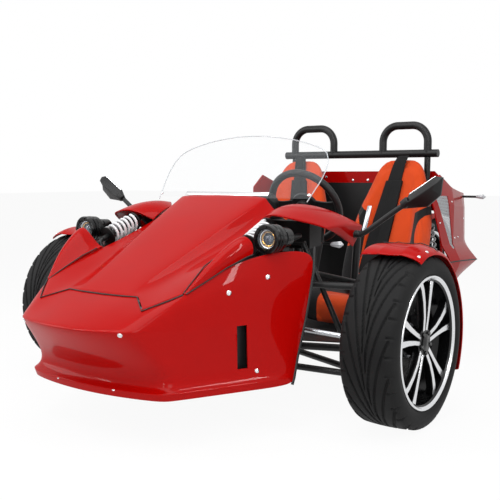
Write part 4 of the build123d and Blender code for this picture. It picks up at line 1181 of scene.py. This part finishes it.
def on_screen(x, z, lift=0.0):
    """Point on the screen's front face."""
    bulge = SCREEN_R - (SCREEN_R ** 2 - x ** 2) ** 0.5
    return (x, SCREEN_FOOT[0] + bulge + (z - SCREEN_FOOT[1]) * sin(RAKE) / cos(RAKE) - lift, z)


# The edge bead's pale grey, half-opaque colour is a painted highlight: the real edge is clear plastic that shows
# bright by the light it catches.
finish("screen_edge_glint", colour(214, 219, 224), 0.12, alpha=0.62)
outline = [on_screen(x, z, -RIM_IN) for x, z in EDGE]
outline += on_side(-1, outline[-2::-1])
fit(rod("screen_rim", outline, 2.0), "screen_edge_glint", "chassis", slot="clear_screen")
strip = [[on_screen(x, z, STRIP_OUT) for z in (STRIP_LOW, STRIP_HIGH)] for x in range(-205, 206, 41)]
clamp = thicken(sheet_of("screen_strip", strip), 3)
fit(soften(clamp, 1.0), "wheel_face", "chassis", slot="steel")
print("screen rim points:", len(outline))

# %% [markdown]
# ## Brakes, engine and tail
# Small turned and moulded pieces finish the mechanical parts: flat black dots for the holes in the brake
# discs, their black a painted shade for the holes' depth, round covers and fins on the engine, bands on the
# silencer, and rims round the tail lamps.

# %% Detail the mechanical parts
# Rings of holes in a disc: radius, count, shift of the first hole. Each hole is drawn as a flat black dot on the
# disc's face, painted shade for its depth.
HOLE_RINGS, HOLE_SHADE_DOT = ((92, 14, 0), (108, 14, 0.5)), ((-0.5, 0), (-0.5, 4), (0.4, 4), (0.4, 0))
for name, _, aft, radius, _, face in WHEELS:
    low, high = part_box("disc_" + name)
    front = (high.x if face > 0 else low.x) * 1000
    hole_shade_dots = []
    for ring_r, count, shift in HOLE_RINGS:
        for turn in around(count, shift):
            spot = (front, aft - ring_r * cos(turn), radius + ring_r * sin(turn))
            hole_shade_dots.append(turned("hole", HOLE_SHADE_DOT, spot, (face, 0, 0), 10))
    # The black of these dots is painted shade for the depth of the drilled holes.
    fit(join("disc_holes_" + name, hole_shade_dots), "rubber_seal", "wheel_" + name, slot="steel")

FINS, FIN_AT, FIN_STEP = 5, (1308, 545), 13
COVER = ((-3, 0), (-3, 70), (4, 70), (8, 64), (8, 34), (5, 31), (5, 12), (8, 9), (8, 0))
COVER_X, COVER_AFT, COVER_Z = 100, 1300, 380
COVER_BOLT, COVER_BOLTS, COVER_BOLT_RING = ((3, 0), (3, 5), (8, 5), (9, 3), (9, 0)), 6, 62
details = []
for level in range(FINS):
    fin_at = (0, FIN_AT[0], FIN_AT[1] + FIN_STEP * level)
    details.append(soften(block("fin", fin_at, (208, 150 - 20 * level, 5)), 1.5))
for side in (1, -1):
    details.append(turned("cover", COVER, (side * COVER_X, COVER_AFT, COVER_Z), (side, 0, 0), 40))
    for turn in around(COVER_BOLTS):
        out = (COVER_BOLT_RING * cos(turn), COVER_BOLT_RING * sin(turn))
        spot = (side * COVER_X, COVER_AFT + out[0], COVER_Z + out[1])
        details.append(turned("cover_bolt", COVER_BOLT, spot, (side, 0, 0), 6))
fit(join("engine_details", details), "engine_cast", "chassis")

CAN_AT, CAN_AXIS = (-262, 1500, 350), (0, 320, 55)
BAND, BANDS_ALONG = ((-9, 52.5), (-7, 54.5), (7, 54.5), (9, 52.5)), (40, 285)
OUTLET = ((322, 40), (330, 38), (330, 24), (326, 22), (300, 22), (300, 0))
bands = [[(along + out, r) for out, r in BAND] for along in BANDS_ALONG]
bands = [turned("band", section, CAN_AT, CAN_AXIS, 40) for section in bands + [OUTLET]]
fit(join("silencer_bands", bands), "steel", "chassis")

LAMP_RIM = ((20, 38.5), (24, 38.5), (25, 36), (23, 33), (20, 33), (20, 38.5))
rims = [turned("rim", LAMP_RIM, (lamp_x, 1606, 702), BACK, 40) for lamp_x in (240, 330, -240, -330)]
fit(join("tail_lamp_rims", rims), "wheel_face", "chassis", slot="steel")
print("mechanical details added")
